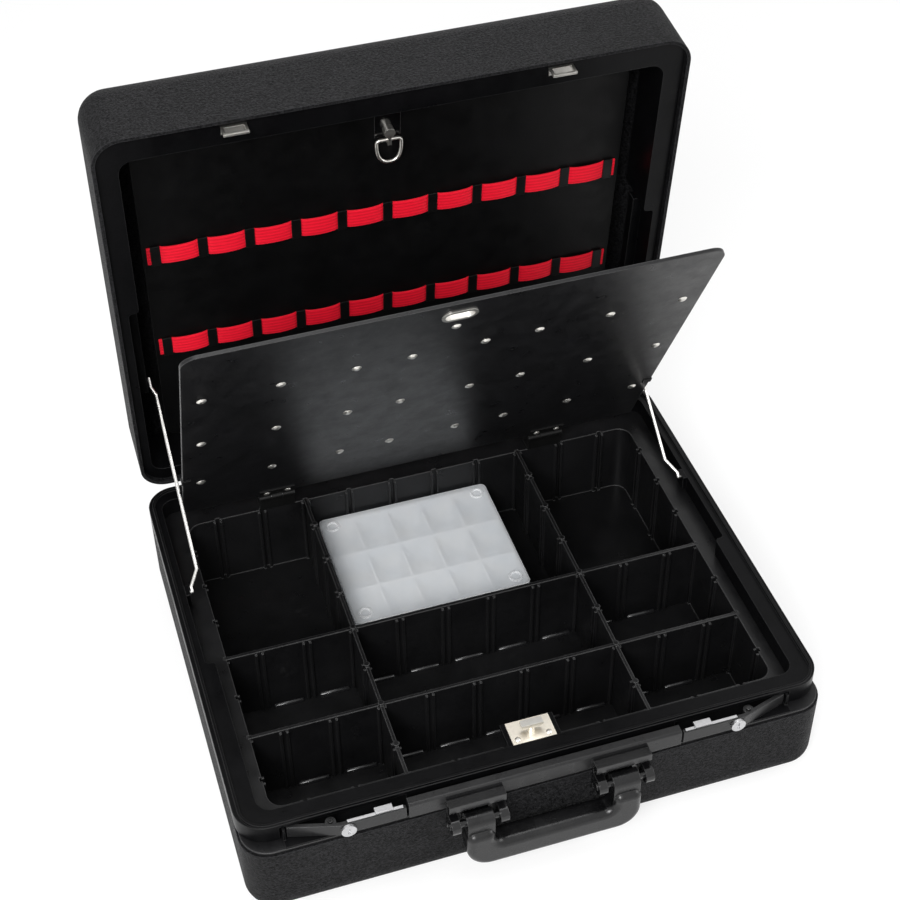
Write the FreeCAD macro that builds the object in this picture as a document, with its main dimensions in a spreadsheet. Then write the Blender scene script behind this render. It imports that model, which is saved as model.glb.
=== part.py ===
import FreeCAD
import Part
import Sketcher
import math
import os

# Hard tool case with an open lid, swing handle, rocker latches, tool panel and divided tray.
# Millimetres and degrees. X runs to the right, Y to the hinge side, Z up, origin on the floor.
# Every piece is drawn as it sits with the lid closed, and is then swung to the open pose.

SIZES = {
    # Case halves
    "case_width": 482,
    "case_depth": 398.5,
    "shell_height": 77,
    "shell_wall": 3.5,
    "corner_radius": 24,
    "edge_radius": 21,
    "parting_height": 97,
    "parting_gap": 0.3,
    "lid_height": 76,
    "lid_wall": 3,
    "lid_angle": 83,
    "hinge_offset": 2.4,
    "hinge_rise": 0.15,
    # Base frame, with the ledge that the lid closes on
    "ledge_thickness": 3.5,
    "ledge_half_width": 222,
    "recess_half_width": 230,
    "recess_front": -15,
    "ledge_front": -171.5,
    "ledge_back": 183,
    "frame_setback": 12,
    "frame_wall": 3,
    "skirt_wall": 2.5,
    "lip_height": 2.5,
    "lip_width": 2,
    "lip_inset": 3.5,
    "lip_front_set": 0.6,
    "inner_radius": 12,
    # Lid frame and board
    "lid_ledge_recess": 5,
    "lid_ledge_half_width": 221,
    "lid_ledge_front": -173,
    "board_half_width": 208.5,
    "board_level": 42,
    "board_thickness": 3,
    "board_gap": 0.4,
    "shelf_depth": 14,
    # Tray and dividers
    "tray_half_width": 211,
    "tray_front": -158,
    "tray_back": 162,
    "tray_wall": 4,
    "tray_floor": 2.5,
    "tray_flange": 3,
    "flange_inset": 1.5,
    "slot_pitch_wide": 40.8,
    "slot_pitch_deep": 43,
    "slot_width": 3.6,
    "slot_depth": 2,
    "rib_size": 2,
    "rib_drop": 2,
    "divider_thickness": 3,
    "divider_play": 0.3,
    "knob_radius": 2.6,
    "knob_height": 1.5,
    # Front of the base
    "band_half_width": 112,
    "band_height": 15.5,
    "band_depth": 7.5,
    "latch_inner": 114,
    "latch_outer": 205,
    "latch_bend": 166,
    "latch_pivot": 172,
    "latch_pivot_set": 6.5,
    "latch_height": 11.5,
    "latch_thickness": 3.5,
    "latch_slant": 11,
    "latch_end_gap": 3.5,
    "housing_floor": 1.2,
    "pin_radius": 2,
    "running_play": 0.05,
    "lock_place": 160,
    "lock_radius": 6,
    "lock_stem_radius": 3.2,
    "lock_stand": 2.5,
    "key_slot": 1.6,
    "hook_plate": 1,
    "hook_rise": 2.3,
    "hook_finger": 1.7,
    "hook_reach": 5.8,
    "strike_place": 131,
    "strike_width": 20,
    "strike_bar": 2,
    "strike_front": -190.2,
    "strike_thickness": 2,
    "strike_low": 91.4,
    "strike_foot": 7,
    # Handle
    "bracket_place": 60,
    "bracket_width": 46,
    "bracket_low": 58,
    "bracket_high": 91,
    "bracket_plate": 2.5,
    "ear_width": 7,
    "ear_radius": 7,
    "handle_axis_out": 11.5,
    "handle_axis_height": 71,
    "rod_radius": 3,
    "arm_width": 22,
    "arm_radius": 7.5,
    "grip_half_width": 72,
    "grip_low": 24,
    "grip_high": 48,
    "grip_radius": 20,
    "grip_inside_radius": 8,
    "grip_thickness": 20,
    "grip_round": 6,
    "grip_set": 2,
    # Lid hinges
    "hinge_place": 140,
    "hinge_width": 60,
    "hinge_leaf": 1.4,
    "hinge_leaf_height": 20,
    "knuckle_radius": 2.2,
    "hinge_pin_radius": 1.1,
    "knuckle_gap": 0.4,
    "hinge_rivet_radius": 2.5,
    "hinge_rivet_spread": 20,
    # Lid stays
    "wire_radius": 1.5,
    "bend_swell": 0.08,
    "bend_flat": 70,
    "stay_plane": 216,
    "stay_axis_y": 70,
    "stay_axis_z": 94,
    "stay_length": 190.3,
    "stay_angle": 37.5,
    "stay_foot": 8,
    "stay_foot_start": 4,
    "stay_foot_length": 14,
    "stay_jog": 3,
    "stay_jog_length": 16,
    "stay_block_width": 4,
    "stay_block_depth": 12,
    "stay_block_low": 84,
    "keeper_low": 28,
    "keeper_high": 38,
    "keeper_length": 120,
    "keeper_play": 0.6,
    # Tool panel
    "panel_axis_y": 159.5,
    "panel_axis_z": 96.5,
    "panel_angle": 62.5,
    "panel_lift": 1.7,
    "panel_thickness": 3,
    "panel_half_width": 213,
    "panel_reach": 340,
    "panel_heel": 3,
    "panel_corner": 14,
    "rivet_row_low": 74.5,
    "rivet_row_step": 91.3,
    "rivet_head_radius": 4,
    "rivet_head": 1.3,
    "rivet_shank": 1.7,
    "rivet_far": 197,
    "rivet_outer": 135,
    "rivet_inner": 75,
    "rivet_near": 30,
    "grommet_reach": 320,
    "grommet_half_length": 12.5,
    "grommet_half_height": 6,
    "grommet_rim": 2,
    "grommet_flange": 0.8,
    "single_rivet_reach": 299,
    "loop_height": 16,
    "loop_bulge": 5,
    "loop_thickness": 1.2,
    "clip_reach": 82,
    "clip_size": 7,
    "panel_hinge_place": 128,
    "panel_hinge_width": 32,
    "panel_hinge_leaf": 1.2,
    "panel_knuckle": 2.9,
    "panel_pin_radius": 1.4,
    "panel_leaf_length": 14,
    "panel_rivet_place": 8,
    "panel_rivet_spread": 9.6,
    "panel_foot_depth": 14,
    # Panel catch on the base and lock on the lid board
    "catch_half_width": 18,
    "catch_back": -148.5,
    "catch_tab": 22,
    "catch_plate": 1.2,
    "catch_drop": 1.2,
    "catch_screw_place": 13,
    "catch_screw_radius": 2.4,
    "catch_screw_set": 5,
    "button_stem": 2.8,
    "button_length": 18,
    "button_width": 6,
    "button_low": 102.5,
    "button_thickness": 3.8,
    "lock_plate_half_width": 11,
    "lock_plate_low": 320,
    "lock_plate_high": 356,
    "stud_place": 328,
    "stud_radius": 4.5,
    "stud_length": 6.8,
    "stud_lug_length": 12,
    "stud_lug_width": 3,
    "ring_radius": 10.5,
    "ring_wire": 1.5,
    "ring_hole": 2.6,
    # Elastic straps on the lid board
    "strap_upper": 239.5,
    "strap_lower": 133,
    "strap_height": 18.5,
    "strap_thickness": 1.2,
    "strap_pitch": 39.6,
    "strap_bulge": 3.8,
    "strap_stub": 3,
    "strap_bar_width": 8,
    "strap_bar": 1.2,
    # Assortment box lying in the tray
    "box_left": -93,
    "box_right": 68,
    "box_front": 26,
    "box_back": 159,
    "box_height": 41,
    "box_wall": 1.8,
    "box_partition": 1.4,
    "box_lid_height": 5,
    "box_lid_play": 0.25,
    "box_radius": 5,
    "box_post_radius": 6,
    "box_post_wall": 1.6,
    "box_post_height": 1.2,
    "box_post_inset": 11,
    "box_clasp_width": 24,
    "box_clasp_depth": 1.6,
    "box_clasp_height": 13,
}

STRAP_LOOPS = 10
SLOTS_WIDE = 10
SLOTS_DEEP = 7
BOX_COLUMNS = 5
BOX_ROWS = 3


class Size:
    """A number together with the sheet formula that gives it."""

    def __init__(self, value, text):
        self.value = value
        self.text = text

    def __add__(self, other):
        other = as_size(other)
        return Size(self.value + other.value, "(%s + %s)" % (self.text, other.text))

    def __sub__(self, other):
        other = as_size(other)
        return Size(self.value - other.value, "(%s - %s)" % (self.text, other.text))

    def __mul__(self, other):
        other = as_size(other)
        return Size(self.value * other.value, "(%s * %s)" % (self.text, other.text))

    def __truediv__(self, other):
        other = as_size(other)
        return Size(self.value / other.value, "(%s / %s)" % (self.text, other.text))

    def __radd__(self, other):
        return as_size(other) + self

    def __rsub__(self, other):
        return as_size(other) - self

    def __rmul__(self, other):
        return as_size(other) * self

    def __neg__(self):
        return Size(-self.value, "(0 - %s)" % self.text)


def as_size(item):
    if isinstance(item, Size):
        return item
    return Size(float(item), "%.6g" % item if item >= 0 else "(0 - %.6g)" % -item)


def cosine(angle):
    return Size(math.cos(math.radians(angle.value)), "cos(%s)" % angle.text)


def sine(angle):
    return Size(math.sin(math.radians(angle.value)), "sin(%s)" % angle.text)


def root(size):
    return Size(math.sqrt(size.value), "sqrt(%s)" % size.text)


class Names:
    """Gives each driving size by name."""


doc = FreeCAD.newDocument("HardCase")
sheet = doc.addObject("Spreadsheet::Sheet", "Sizes")
s = Names()
for row, (word, number) in enumerate(SIZES.items(), start=1):
    sheet.set("A%d" % row, word)
    sheet.set("B%d" % row, str(number))
    sheet.setAlias("B%d" % row, word)
    setattr(s, word, Size(float(number), "Sizes.%s" % word))
doc.recompute()

NODES = []
TURNS = {
    "x": FreeCAD.Rotation(FreeCAD.Vector(0, 1, 0), 90),
    "y": FreeCAD.Rotation(FreeCAD.Vector(1, 0, 0), -90),
    "z": FreeCAD.Rotation(),
}
PLANES = {"floor": "XY_Plane", "front": "XZ_Plane", "side": "YZ_Plane"}


# Helpers that make document objects and bind them to the sheet

def bind(item, path, size):
    item.setExpression(path, as_size(size).text)


def ordered(low, high):
    low = as_size(low)
    high = as_size(high)
    return (low, high) if low.value <= high.value else (high, low)


def box(name, x, y, z):
    item = doc.addObject("Part::Box", name)
    spans = [ordered(*pair) for pair in (x, y, z)]
    for path, (low, high) in zip(("Length", "Width", "Height"), spans):
        bind(item, path, high - low)
    for axis, (low, high) in zip("xyz", spans):
        bind(item, "Placement.Base." + axis, low)
    return item


def set_axis(item, axis, span, centre):
    """Lays a turned piece along an axis; centre gives the other two coordinates in order."""
    item.Placement = FreeCAD.Placement(FreeCAD.Vector(), TURNS[axis])
    place = list(centre)
    place.insert("xyz".index(axis), span[0])
    for letter, size in zip("xyz", place):
        bind(item, "Placement.Base." + letter, size)


def rod(name, axis, radius, span, centre):
    span = ordered(*span)
    item = doc.addObject("Part::Cylinder", name)
    bind(item, "Radius", radius)
    bind(item, "Height", span[1] - span[0])
    set_axis(item, axis, span, centre)
    return item


def bent_wire(name, radius, level, points):
    """A round wire at one level through the given points, slightly swollen and flattened in each bend."""
    parts = []
    for index, (start, end) in enumerate(zip(points, points[1:])):
        step_x = end[0] - start[0]
        step_y = end[1] - start[1]
        length = root(step_x * step_x + step_y * step_y)
        piece = doc.addObject("Part::Cylinder", "%s_run_%d" % (name, index))
        turn = FreeCAD.Rotation(FreeCAD.Vector(-step_y.value, step_x.value, 0), 90)
        piece.Placement = FreeCAD.Placement(FreeCAD.Vector(), turn)
        bind(piece, "Radius", radius)
        bind(piece, "Height", length)
        bind(piece, "Placement.Rotation.Axis.x", -step_y / length)
        bind(piece, "Placement.Rotation.Axis.y", step_x / length)
        pieces = [piece]
        if index:
            ball = doc.addObject("Part::Sphere", "%s_bend_%d" % (name, index))
            bind(ball, "Radius", radius + s.bend_swell)
            bind(ball, "Angle1", -s.bend_flat)
            bind(ball, "Angle2", s.bend_flat)
            pieces.append(ball)
        for item in pieces:
            for letter, size in zip("xyz", (*start, level)):
                bind(item, "Placement.Base." + letter, size)
        parts.extend(pieces)
    return fuse(name, parts)


def cone(name, axis, radii, span, centre):
    """A cone between two places along an axis; the radii go with the low and the high end."""
    item = doc.addObject("Part::Cone", name)
    bind(item, "Radius1", radii[0])
    bind(item, "Radius2", radii[1])
    bind(item, "Height", as_size(span[1]) - span[0])
    set_axis(item, axis, span, centre)
    return item


def fuse(name, items):
    item = doc.addObject("Part::MultiFuse", name)
    item.Shapes = items
    item.Refine = True
    return item


def group(name, items):
    item = doc.addObject("Part::Compound", name)
    item.Links = items
    return item


def cut(name, base, tools):
    item = doc.addObject("Part::Cut", name)
    item.Base = base
    item.Tool = tools[0] if len(tools) == 1 else group(name + "_tools", tools)
    item.Refine = True
    return item


def node(label, item, turn=None):
    """Registers a finished piece; turn holds the axis and angle that swing it to its rest pose."""
    item.Label = label
    if turn:
        axis_y, axis_z, angle = turn
        item.Placement = FreeCAD.Placement(
            FreeCAD.Vector(), FreeCAD.Rotation(FreeCAD.Vector(-1, 0, 0), angle.value))
        bind(item, "Placement.Rotation.Angle", angle)
        bind(item, "Placement.Base.y", axis_y - axis_y * cosine(angle) - axis_z * sine(angle))
        bind(item, "Placement.Base.z", axis_z + axis_y * sine(angle) - axis_z * cosine(angle))
    NODES.append((label, item))
    return item


def new_body(name):
    return doc.addObject("PartDesign::Body", name)


def sketch(body, name, plane, height):
    """A sketch on one of the body's own planes, set off by a height along that plane's normal."""
    art = body.newObject("Sketcher::SketchObject", name)
    role = PLANES[plane]
    art.AttachmentSupport = [(next(f for f in body.Origin.OriginFeatures if f.Role == role), "")]
    art.MapMode = "FlatFace"
    bind(art, "AttachmentOffset.Base.z", height)
    return art


def constrain(art, rules):
    """Adds rules in one go; a rule is a constraint and the formula that drives it, if any."""
    indexes = art.addConstraint([rule for rule, text in rules])
    for index, (rule, text) in zip(indexes, rules):
        if text:
            art.setExpression("Constraints[%d]" % index, text)


def join_ends(piece, point, other, other_point):
    return (Sketcher.Constraint("Coincident", piece, point, other, other_point), None)


def pin(piece, point, x, y):
    """Rules that hold a point of a drawn piece at a place."""
    rules = []
    for kind, size in (("DistanceX", as_size(x)), ("DistanceY", as_size(y))):
        rules.append((Sketcher.Constraint(kind, -1, 1, piece, point, size.value), size.text))
    return rules


def hold_radius(piece, radius):
    radius = as_size(radius)
    return (Sketcher.Constraint("Radius", piece, radius.value), radius.text)


def spot(x, y):
    return FreeCAD.Vector(as_size(x).value, as_size(y).value, 0)


def add_polygon(art, points):
    first = art.GeometryCount
    count = len(points)
    lines = []
    rules = []
    for index, (x, y) in enumerate(points):
        lines.append(Part.LineSegment(spot(x, y), spot(*points[(index + 1) % count])))
        rules.append(join_ends(first + index, 2, first + (index + 1) % count, 1))
        rules.extend(pin(first + index, 1, x, y))
    art.addGeometry(lines)
    constrain(art, rules)


def add_circle(art, x, y, radius):
    circle = Part.Circle(spot(x, y), FreeCAD.Vector(0, 0, 1), as_size(radius).value)
    piece = art.addGeometry(circle)
    constrain(art, pin(piece, 3, x, y) + [hold_radius(piece, radius)])


def heading(start, end):
    """The unit step from one corner to the next along X or Y."""
    step = spot(*end[:2]) - spot(*start[:2])
    if abs(step.x) > abs(step.y):
        return (math.copysign(1, step.x), 0)
    return (0, math.copysign(1, step.y))


def add_outline(art, corners):
    """A closed outline of level and upright lines whose corners are rounded by their own radius."""
    count = len(corners)
    starts = []
    ends = []
    middles = []
    for index, (x, y, radius) in enumerate(corners):
        back = heading(corners[index], corners[index - 1])
        ahead = heading(corners[index], corners[(index + 1) % count])
        ends.append((x + radius * back[0], y + radius * back[1]))
        starts.append((x + radius * ahead[0], y + radius * ahead[1]))
        middles.append((x + radius * (back[0] + ahead[0]), y + radius * (back[1] + ahead[1])))
    lines = []
    rules = []
    for index in range(count):
        after = (index + 1) % count
        line = art.addGeometry(Part.LineSegment(spot(*starts[index]), spot(*ends[after])))
        rules.extend(pin(line, 1, *starts[index]))
        rules.extend(pin(line, 2, *ends[after]))
        lines.append(line)
    for index, (x, y, radius) in enumerate(corners):
        middle = spot(*middles[index])
        arrive = spot(*ends[index]) - middle
        leave = spot(*starts[index]) - middle
        left_turn = arrive.cross(leave).z > 0
        first, last = (arrive, leave) if left_turn else (leave, arrive)
        circle = Part.Circle(middle, FreeCAD.Vector(0, 0, 1), as_size(radius).value)
        arc = art.addGeometry(Part.ArcOfCircle(
            circle, math.atan2(first.y, first.x), math.atan2(last.y, last.x)))
        point_in, point_out = (1, 2) if left_turn else (2, 1)
        rules.append(join_ends(arc, point_in, lines[index - 1], 2))
        rules.append(join_ends(arc, point_out, lines[index], 1))
        rules.append(hold_radius(arc, radius))
    constrain(art, rules)


def rounded(x, y, radius):
    """Corners of a rounded rectangle, counted anticlockwise."""
    (left, right), (front, back) = x, y
    return [(left, front, radius), (right, front, radius), (right, back, radius), (left, back, radius)]


def pad(body, art, length, away=False):
    item = body.newObject("PartDesign::Pad", art.Name + "_pad")
    item.Profile = art
    item.Reversed = away
    bind(item, "Length", length)
    return item


def pocket(body, art, depth, away=False):
    item = body.newObject("PartDesign::Pocket", art.Name + "_pocket")
    item.Profile = art
    item.Reversed = away
    bind(item, "Length", depth)
    return item


def round_edges(body, radius, choose):
    doc.recompute()
    tip = body.Tip
    names = ["Edge%d" % (i + 1) for i, edge in enumerate(tip.Shape.Edges) if choose(edge)]
    item = body.newObject("PartDesign::Fillet", body.Name + "_round")
    item.Base = (tip, names)
    bind(item, "Radius", radius)
    return item


def repeat(body, feature, art, axis, step, count):
    item = body.newObject("PartDesign::LinearPattern", feature.Name + "_row")
    item.Originals = [feature]
    item.Direction = (art, [axis])
    bind(item, "Length", step * (count - 1))
    item.Occurrences = count
    body.Tip = item
    return item


def edge_at_level(level):
    level = as_size(level).value
    return lambda edge: all(abs(vertex.Z - level) < 0.01 for vertex in edge.Vertexes)


# Places that several pieces share

half_width = s.case_width / 2
half_depth = s.case_depth / 2
hinge_y = half_depth + s.hinge_offset
hinge_z = s.parting_height + s.hinge_rise
lid_bottom = s.parting_height + s.parting_gap
lid_turn = (hinge_y, hinge_z, s.lid_angle)
panel_turn = (s.panel_axis_y, s.panel_axis_z, s.panel_angle)
flange_top = s.shell_height + s.tray_flange
ledge_low = s.parting_height - s.ledge_thickness
frame_front = s.frame_setback - half_depth
tray_bottom = s.shell_wall
floor_top = tray_bottom + s.tray_floor
lid_ledge = lid_bottom + s.lid_ledge_recess
lid_ledge_top = lid_ledge + s.ledge_thickness
board_low = lid_bottom + s.board_level
board_high = board_low + s.board_thickness
panel_low = s.panel_axis_z + s.panel_lift
panel_high = panel_low + s.panel_thickness
SIDES = (("left", -1), ("right", 1))


def lid_place(distance):
    """The Y place, lid closed, of a spot on the lid this far from its back face."""
    return half_depth - distance


def panel_place(distance):
    """The Y place, panel flat, of a spot on the panel this far from its hinge axis."""
    return s.panel_axis_y - distance


# Shells

def rounded_block(name, low, high, inset, radius, rounded_level):
    """A block with rounded upright corners and one rounded face, set in from the case outline."""
    body = new_body(name)
    art = sketch(body, name + "_outline", "floor", low)
    wide = half_width - inset
    deep = half_depth - inset
    add_outline(art, rounded((-wide, wide), (-deep, deep), s.corner_radius - inset))
    pad(body, art, high - low)
    round_edges(body, radius, edge_at_level(rounded_level))
    return body


def half_shell(label, low, high, wall, opens_up, turn):
    outer = rounded_block(label + "_outside", low, high, as_size(0), s.edge_radius, low if opens_up else high)
    floor = low + wall if opens_up else high - wall
    spare = wall if opens_up else -wall
    inner = rounded_block(label + "_inside", floor if opens_up else low + spare,
                          high + spare if opens_up else floor, wall, s.edge_radius - wall, floor)
    node(label, cut(label, outer, [inner]), turn)


half_shell("base_shell", as_size(0), s.shell_height, s.shell_wall, True, None)
half_shell("lid_shell", lid_bottom, lid_bottom + s.lid_height, s.lid_wall, False, lid_turn)


# Frames with a flat ledge round the opening, wider beside the stays

def opening(half, front, grow):
    """The opening of a frame, moved outwards into the frame by a given amount."""
    wide = s.recess_half_width + grow
    narrow = half + grow
    near = front - grow
    step = s.recess_front - grow
    far = s.ledge_back + grow
    small = s.skirt_wall + 1
    return [
        (-narrow, near, s.inner_radius), (narrow, near, s.inner_radius), (narrow, step, small),
        (wide, step, small), (wide, far, s.inner_radius), (-wide, far, s.inner_radius),
        (-wide, step, small), (-narrow, step, small),
    ]


def outside(inset, front, radius):
    wide = half_width - inset
    return rounded((-wide, wide), (front, half_depth - inset), radius)


frame = new_body("frame_moulding")
art = sketch(frame, "frame_ledge", "floor", ledge_low)
add_outline(art, outside(as_size(0), frame_front, s.corner_radius))
add_outline(art, opening(s.ledge_half_width, s.ledge_front, as_size(0)))
pad(frame, art, s.ledge_thickness)
art = sketch(frame, "frame_outer_wall", "floor", flange_top)
add_outline(art, outside(as_size(0), frame_front, s.corner_radius))
add_outline(art, outside(s.frame_wall, frame_front + s.frame_wall, s.corner_radius - s.frame_wall))
pad(frame, art, ledge_low - flange_top)
art = sketch(frame, "frame_skirt", "floor", flange_top)
add_outline(art, opening(s.ledge_half_width, s.ledge_front, s.skirt_wall))
add_outline(art, opening(s.ledge_half_width, s.ledge_front, as_size(0)))
pad(frame, art, ledge_low - flange_top)
art = sketch(frame, "frame_lip", "floor", s.parting_height)
lip_radius = s.corner_radius - s.lip_inset
lip_front = frame_front + s.lip_front_set
add_outline(art, outside(s.lip_inset, lip_front, lip_radius))
add_outline(art, outside(s.lip_inset + s.lip_width, lip_front + s.lip_width, lip_radius - s.lip_width))
pad(frame, art, s.lip_height)
plate_low = s.parting_height - s.catch_drop - s.catch_plate
art = sketch(frame, "frame_tab", "floor", plate_low - s.ledge_thickness)
tab_y = (s.ledge_front - s.skirt_wall / 2, s.catch_back + 1)
add_polygon(art, [(-s.catch_tab, tab_y[0]), (s.catch_tab, tab_y[0]),
                  (s.catch_tab, tab_y[1]), (-s.catch_tab, tab_y[1])])
pad(frame, art, s.ledge_thickness)
windows = []
for side, sign in SIDES:
    windows.append(box(
        "latch_window_" + side,
        (sign * (s.band_half_width - 1), sign * (s.latch_outer + s.latch_end_gap + 2)),
        (frame_front - 1, frame_front + s.frame_wall + 1), (flange_top - 1, ledge_low)))
node("base_frame", cut("base_frame", frame, windows))

lid_frame = new_body("lid_frame_moulding")
skirt_top = board_high + s.board_thickness
lid_front = s.lid_wall + s.running_play - half_depth
lid_side = s.lid_wall + s.running_play
art = sketch(lid_frame, "lid_frame_ledge", "floor", lid_ledge)
add_outline(art, outside(lid_side, lid_front, s.corner_radius - s.lid_wall))
add_outline(art, opening(s.lid_ledge_half_width, s.lid_ledge_front, as_size(0)))
pad(lid_frame, art, s.ledge_thickness)
art = sketch(lid_frame, "lid_frame_skirt", "floor", lid_ledge_top)
add_outline(art, opening(s.lid_ledge_half_width, s.lid_ledge_front, s.skirt_wall))
add_outline(art, opening(s.lid_ledge_half_width, s.lid_ledge_front, as_size(0)))
pad(lid_frame, art, skirt_top - lid_ledge_top)
art = sketch(lid_frame, "lid_frame_shelf", "floor", board_high)
shelf_half = s.board_half_width - 8
for near, far in ((s.lid_ledge_front - 1, s.lid_ledge_front + s.shelf_depth),
                  (s.ledge_back - s.shelf_depth, s.ledge_back + 1)):
    add_polygon(art, [(-shelf_half, near), (shelf_half, near), (shelf_half, far), (-shelf_half, far)])
pad(lid_frame, art, s.board_thickness)
node("lid_frame", lid_frame, lid_turn)

board = new_body("lid_board")
art = sketch(board, "lid_board_outline", "floor", board_low)
board_y = (s.lid_ledge_front + s.board_gap, s.ledge_back - s.board_gap)
add_outline(art, rounded((-s.board_half_width, s.board_half_width), board_y, s.inner_radius))
pad(board, art, s.board_thickness)
node("lid_board", board, lid_turn)


# Tray insert with ribbed walls

tray = new_body("base_tray")
tray_out = s.tray_half_width + s.tray_wall
tray_y = (s.tray_front, s.tray_back)
tray_radius = s.inner_radius
art = sketch(tray, "tray_block", "floor", tray_bottom)
add_outline(art, rounded((-tray_out, tray_out), (s.tray_front - s.tray_wall, s.tray_back + s.tray_wall),
                         tray_radius + s.tray_wall))
pad(tray, art, flange_top - tray_bottom)
art = sketch(tray, "tray_flange_outline", "floor", s.shell_height)
add_outline(art, outside(s.flange_inset, s.flange_inset - half_depth, s.corner_radius - s.flange_inset))
pad(tray, art, s.tray_flange)
art = sketch(tray, "tray_hollow", "floor", flange_top)
add_outline(art, rounded((-s.tray_half_width, s.tray_half_width), tray_y, tray_radius))
pocket(tray, art, flange_top - floor_top)


def slot_places(step, count):
    return [step * (index - (count - 1) / 2) for index in range(count)]


def tray_slots(name, axis, first, step, count):
    """Slots in two facing walls with a rib on both sides of each, repeated along the walls."""
    across_wide = axis == "V_Axis"
    low, high = (-s.tray_half_width, s.tray_half_width) if across_wide else tray_y
    half_slot = s.slot_width / 2

    def corners(near, far, start, end):
        spots = [(near, start), (far, start), (far, end), (near, end)]
        return [(y, x) for x, y in spots] if across_wide else spots

    groove = sketch(tray, name + "_groove", "floor", flange_top)
    add_polygon(groove, corners(first - half_slot, first + half_slot, low - s.slot_depth, high + s.slot_depth))
    channel = pocket(tray, groove, flange_top - floor_top)
    repeat(tray, channel, groove, axis, step, count)
    ribs = sketch(tray, name + "_ribs", "floor", tray_bottom)
    for near, far in ((first - half_slot - s.rib_size, first - half_slot),
                      (first + half_slot, first + half_slot + s.rib_size)):
        add_polygon(ribs, corners(near, far, low - 1, low + s.rib_size))
        add_polygon(ribs, corners(near, far, high - s.rib_size, high + 1))
    rail = pad(tray, ribs, flange_top - tray_bottom - s.rib_drop)
    repeat(tray, rail, ribs, axis, step, count)


wide_slots = slot_places(s.slot_pitch_wide, SLOTS_WIDE)
deep_slots = slot_places(s.slot_pitch_deep, SLOTS_DEEP)
tray_slots("wide_slots", "H_Axis", wide_slots[0], s.slot_pitch_wide, SLOTS_WIDE)
tray_slots("deep_slots", "V_Axis", deep_slots[0], s.slot_pitch_deep, SLOTS_DEEP)
node("base_tray", tray)


# Dividers: two long ones with cuts from above, two cross ones with cuts from below

half_divider = s.divider_thickness / 2
lap_level = (floor_top + flange_top) / 2
cross_places = (wide_slots[2], wide_slots[7])
long_places = (deep_slots[1], deep_slots[3])


def lap_span(place):
    reach = half_divider + s.divider_play / 2
    return (place - reach, place + reach)


def rib_spans(place):
    half_slot = s.slot_width / 2
    yield (place - half_slot - s.rib_size, place - half_slot)
    yield (place + half_slot, place + half_slot + s.rib_size)


def divider(label, place, lengthwise, ends, rib_places, lap_places, lap_z, knobs):
    across = (place - half_divider, place + half_divider)
    wide = (place - half_divider - s.rib_size, place + half_divider + s.rib_size)
    upright = (floor_top, flange_top)
    rib_z = (floor_top, flange_top - s.rib_drop)

    def block(name, along, side, z):
        return box(name, along, side, z) if lengthwise else box(name, side, along, z)

    parts = [block(label + "_plate", ends, across, upright)]
    for rib_place in rib_places:
        for span in rib_spans(rib_place):
            parts.append(block(label + "_rib", span, wide, rib_z))
    for knob in knobs:
        parts.append(rod(label + "_knob", "z", s.knob_radius, (flange_top - 0.01, flange_top + s.knob_height),
                         (place, knob)))
    laps = [block(label + "_lap", lap_span(lap), wide, lap_z) for lap in lap_places]
    node(label, cut(label, fuse(label + "_ribbed", parts), laps))


end_x = s.tray_half_width + s.slot_depth - s.divider_play
for word, place in zip(("front", "rear"), long_places):
    divider("divider_long_" + word, place, True, (-end_x, end_x), wide_slots, cross_places,
            (lap_level, flange_top + 1), [])
end_y = (s.tray_front - s.slot_depth + s.divider_play, s.tray_back + s.slot_depth - s.divider_play)
free_slots = [deep_slots[index] for index in (0, 2, 4, 5, 6)]
for word, place in zip(("left", "right"), cross_places):
    divider("divider_cross_" + word, place, False, end_y, free_slots, long_places,
            (floor_top - 1, lap_level + s.divider_play / 2), deep_slots)


# Lock band, latches and strikers

band_front = -half_depth
band = new_body("front_band")
art = sketch(band, "front_band_outline", "floor", flange_top)
add_polygon(art, [(-s.band_half_width, band_front), (s.band_half_width, band_front),
                  (s.band_half_width, band_front + s.band_depth),
                  (-s.band_half_width, band_front + s.band_depth)])
pad(band, art, s.band_height)
round_edges(band, s.rib_size, lambda edge: edge_at_level(flange_top + s.band_height)(edge)
            and all(abs(v.Y - band_front.value) < 0.01 for v in edge.Vertexes))
node("front_band", band)

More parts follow.
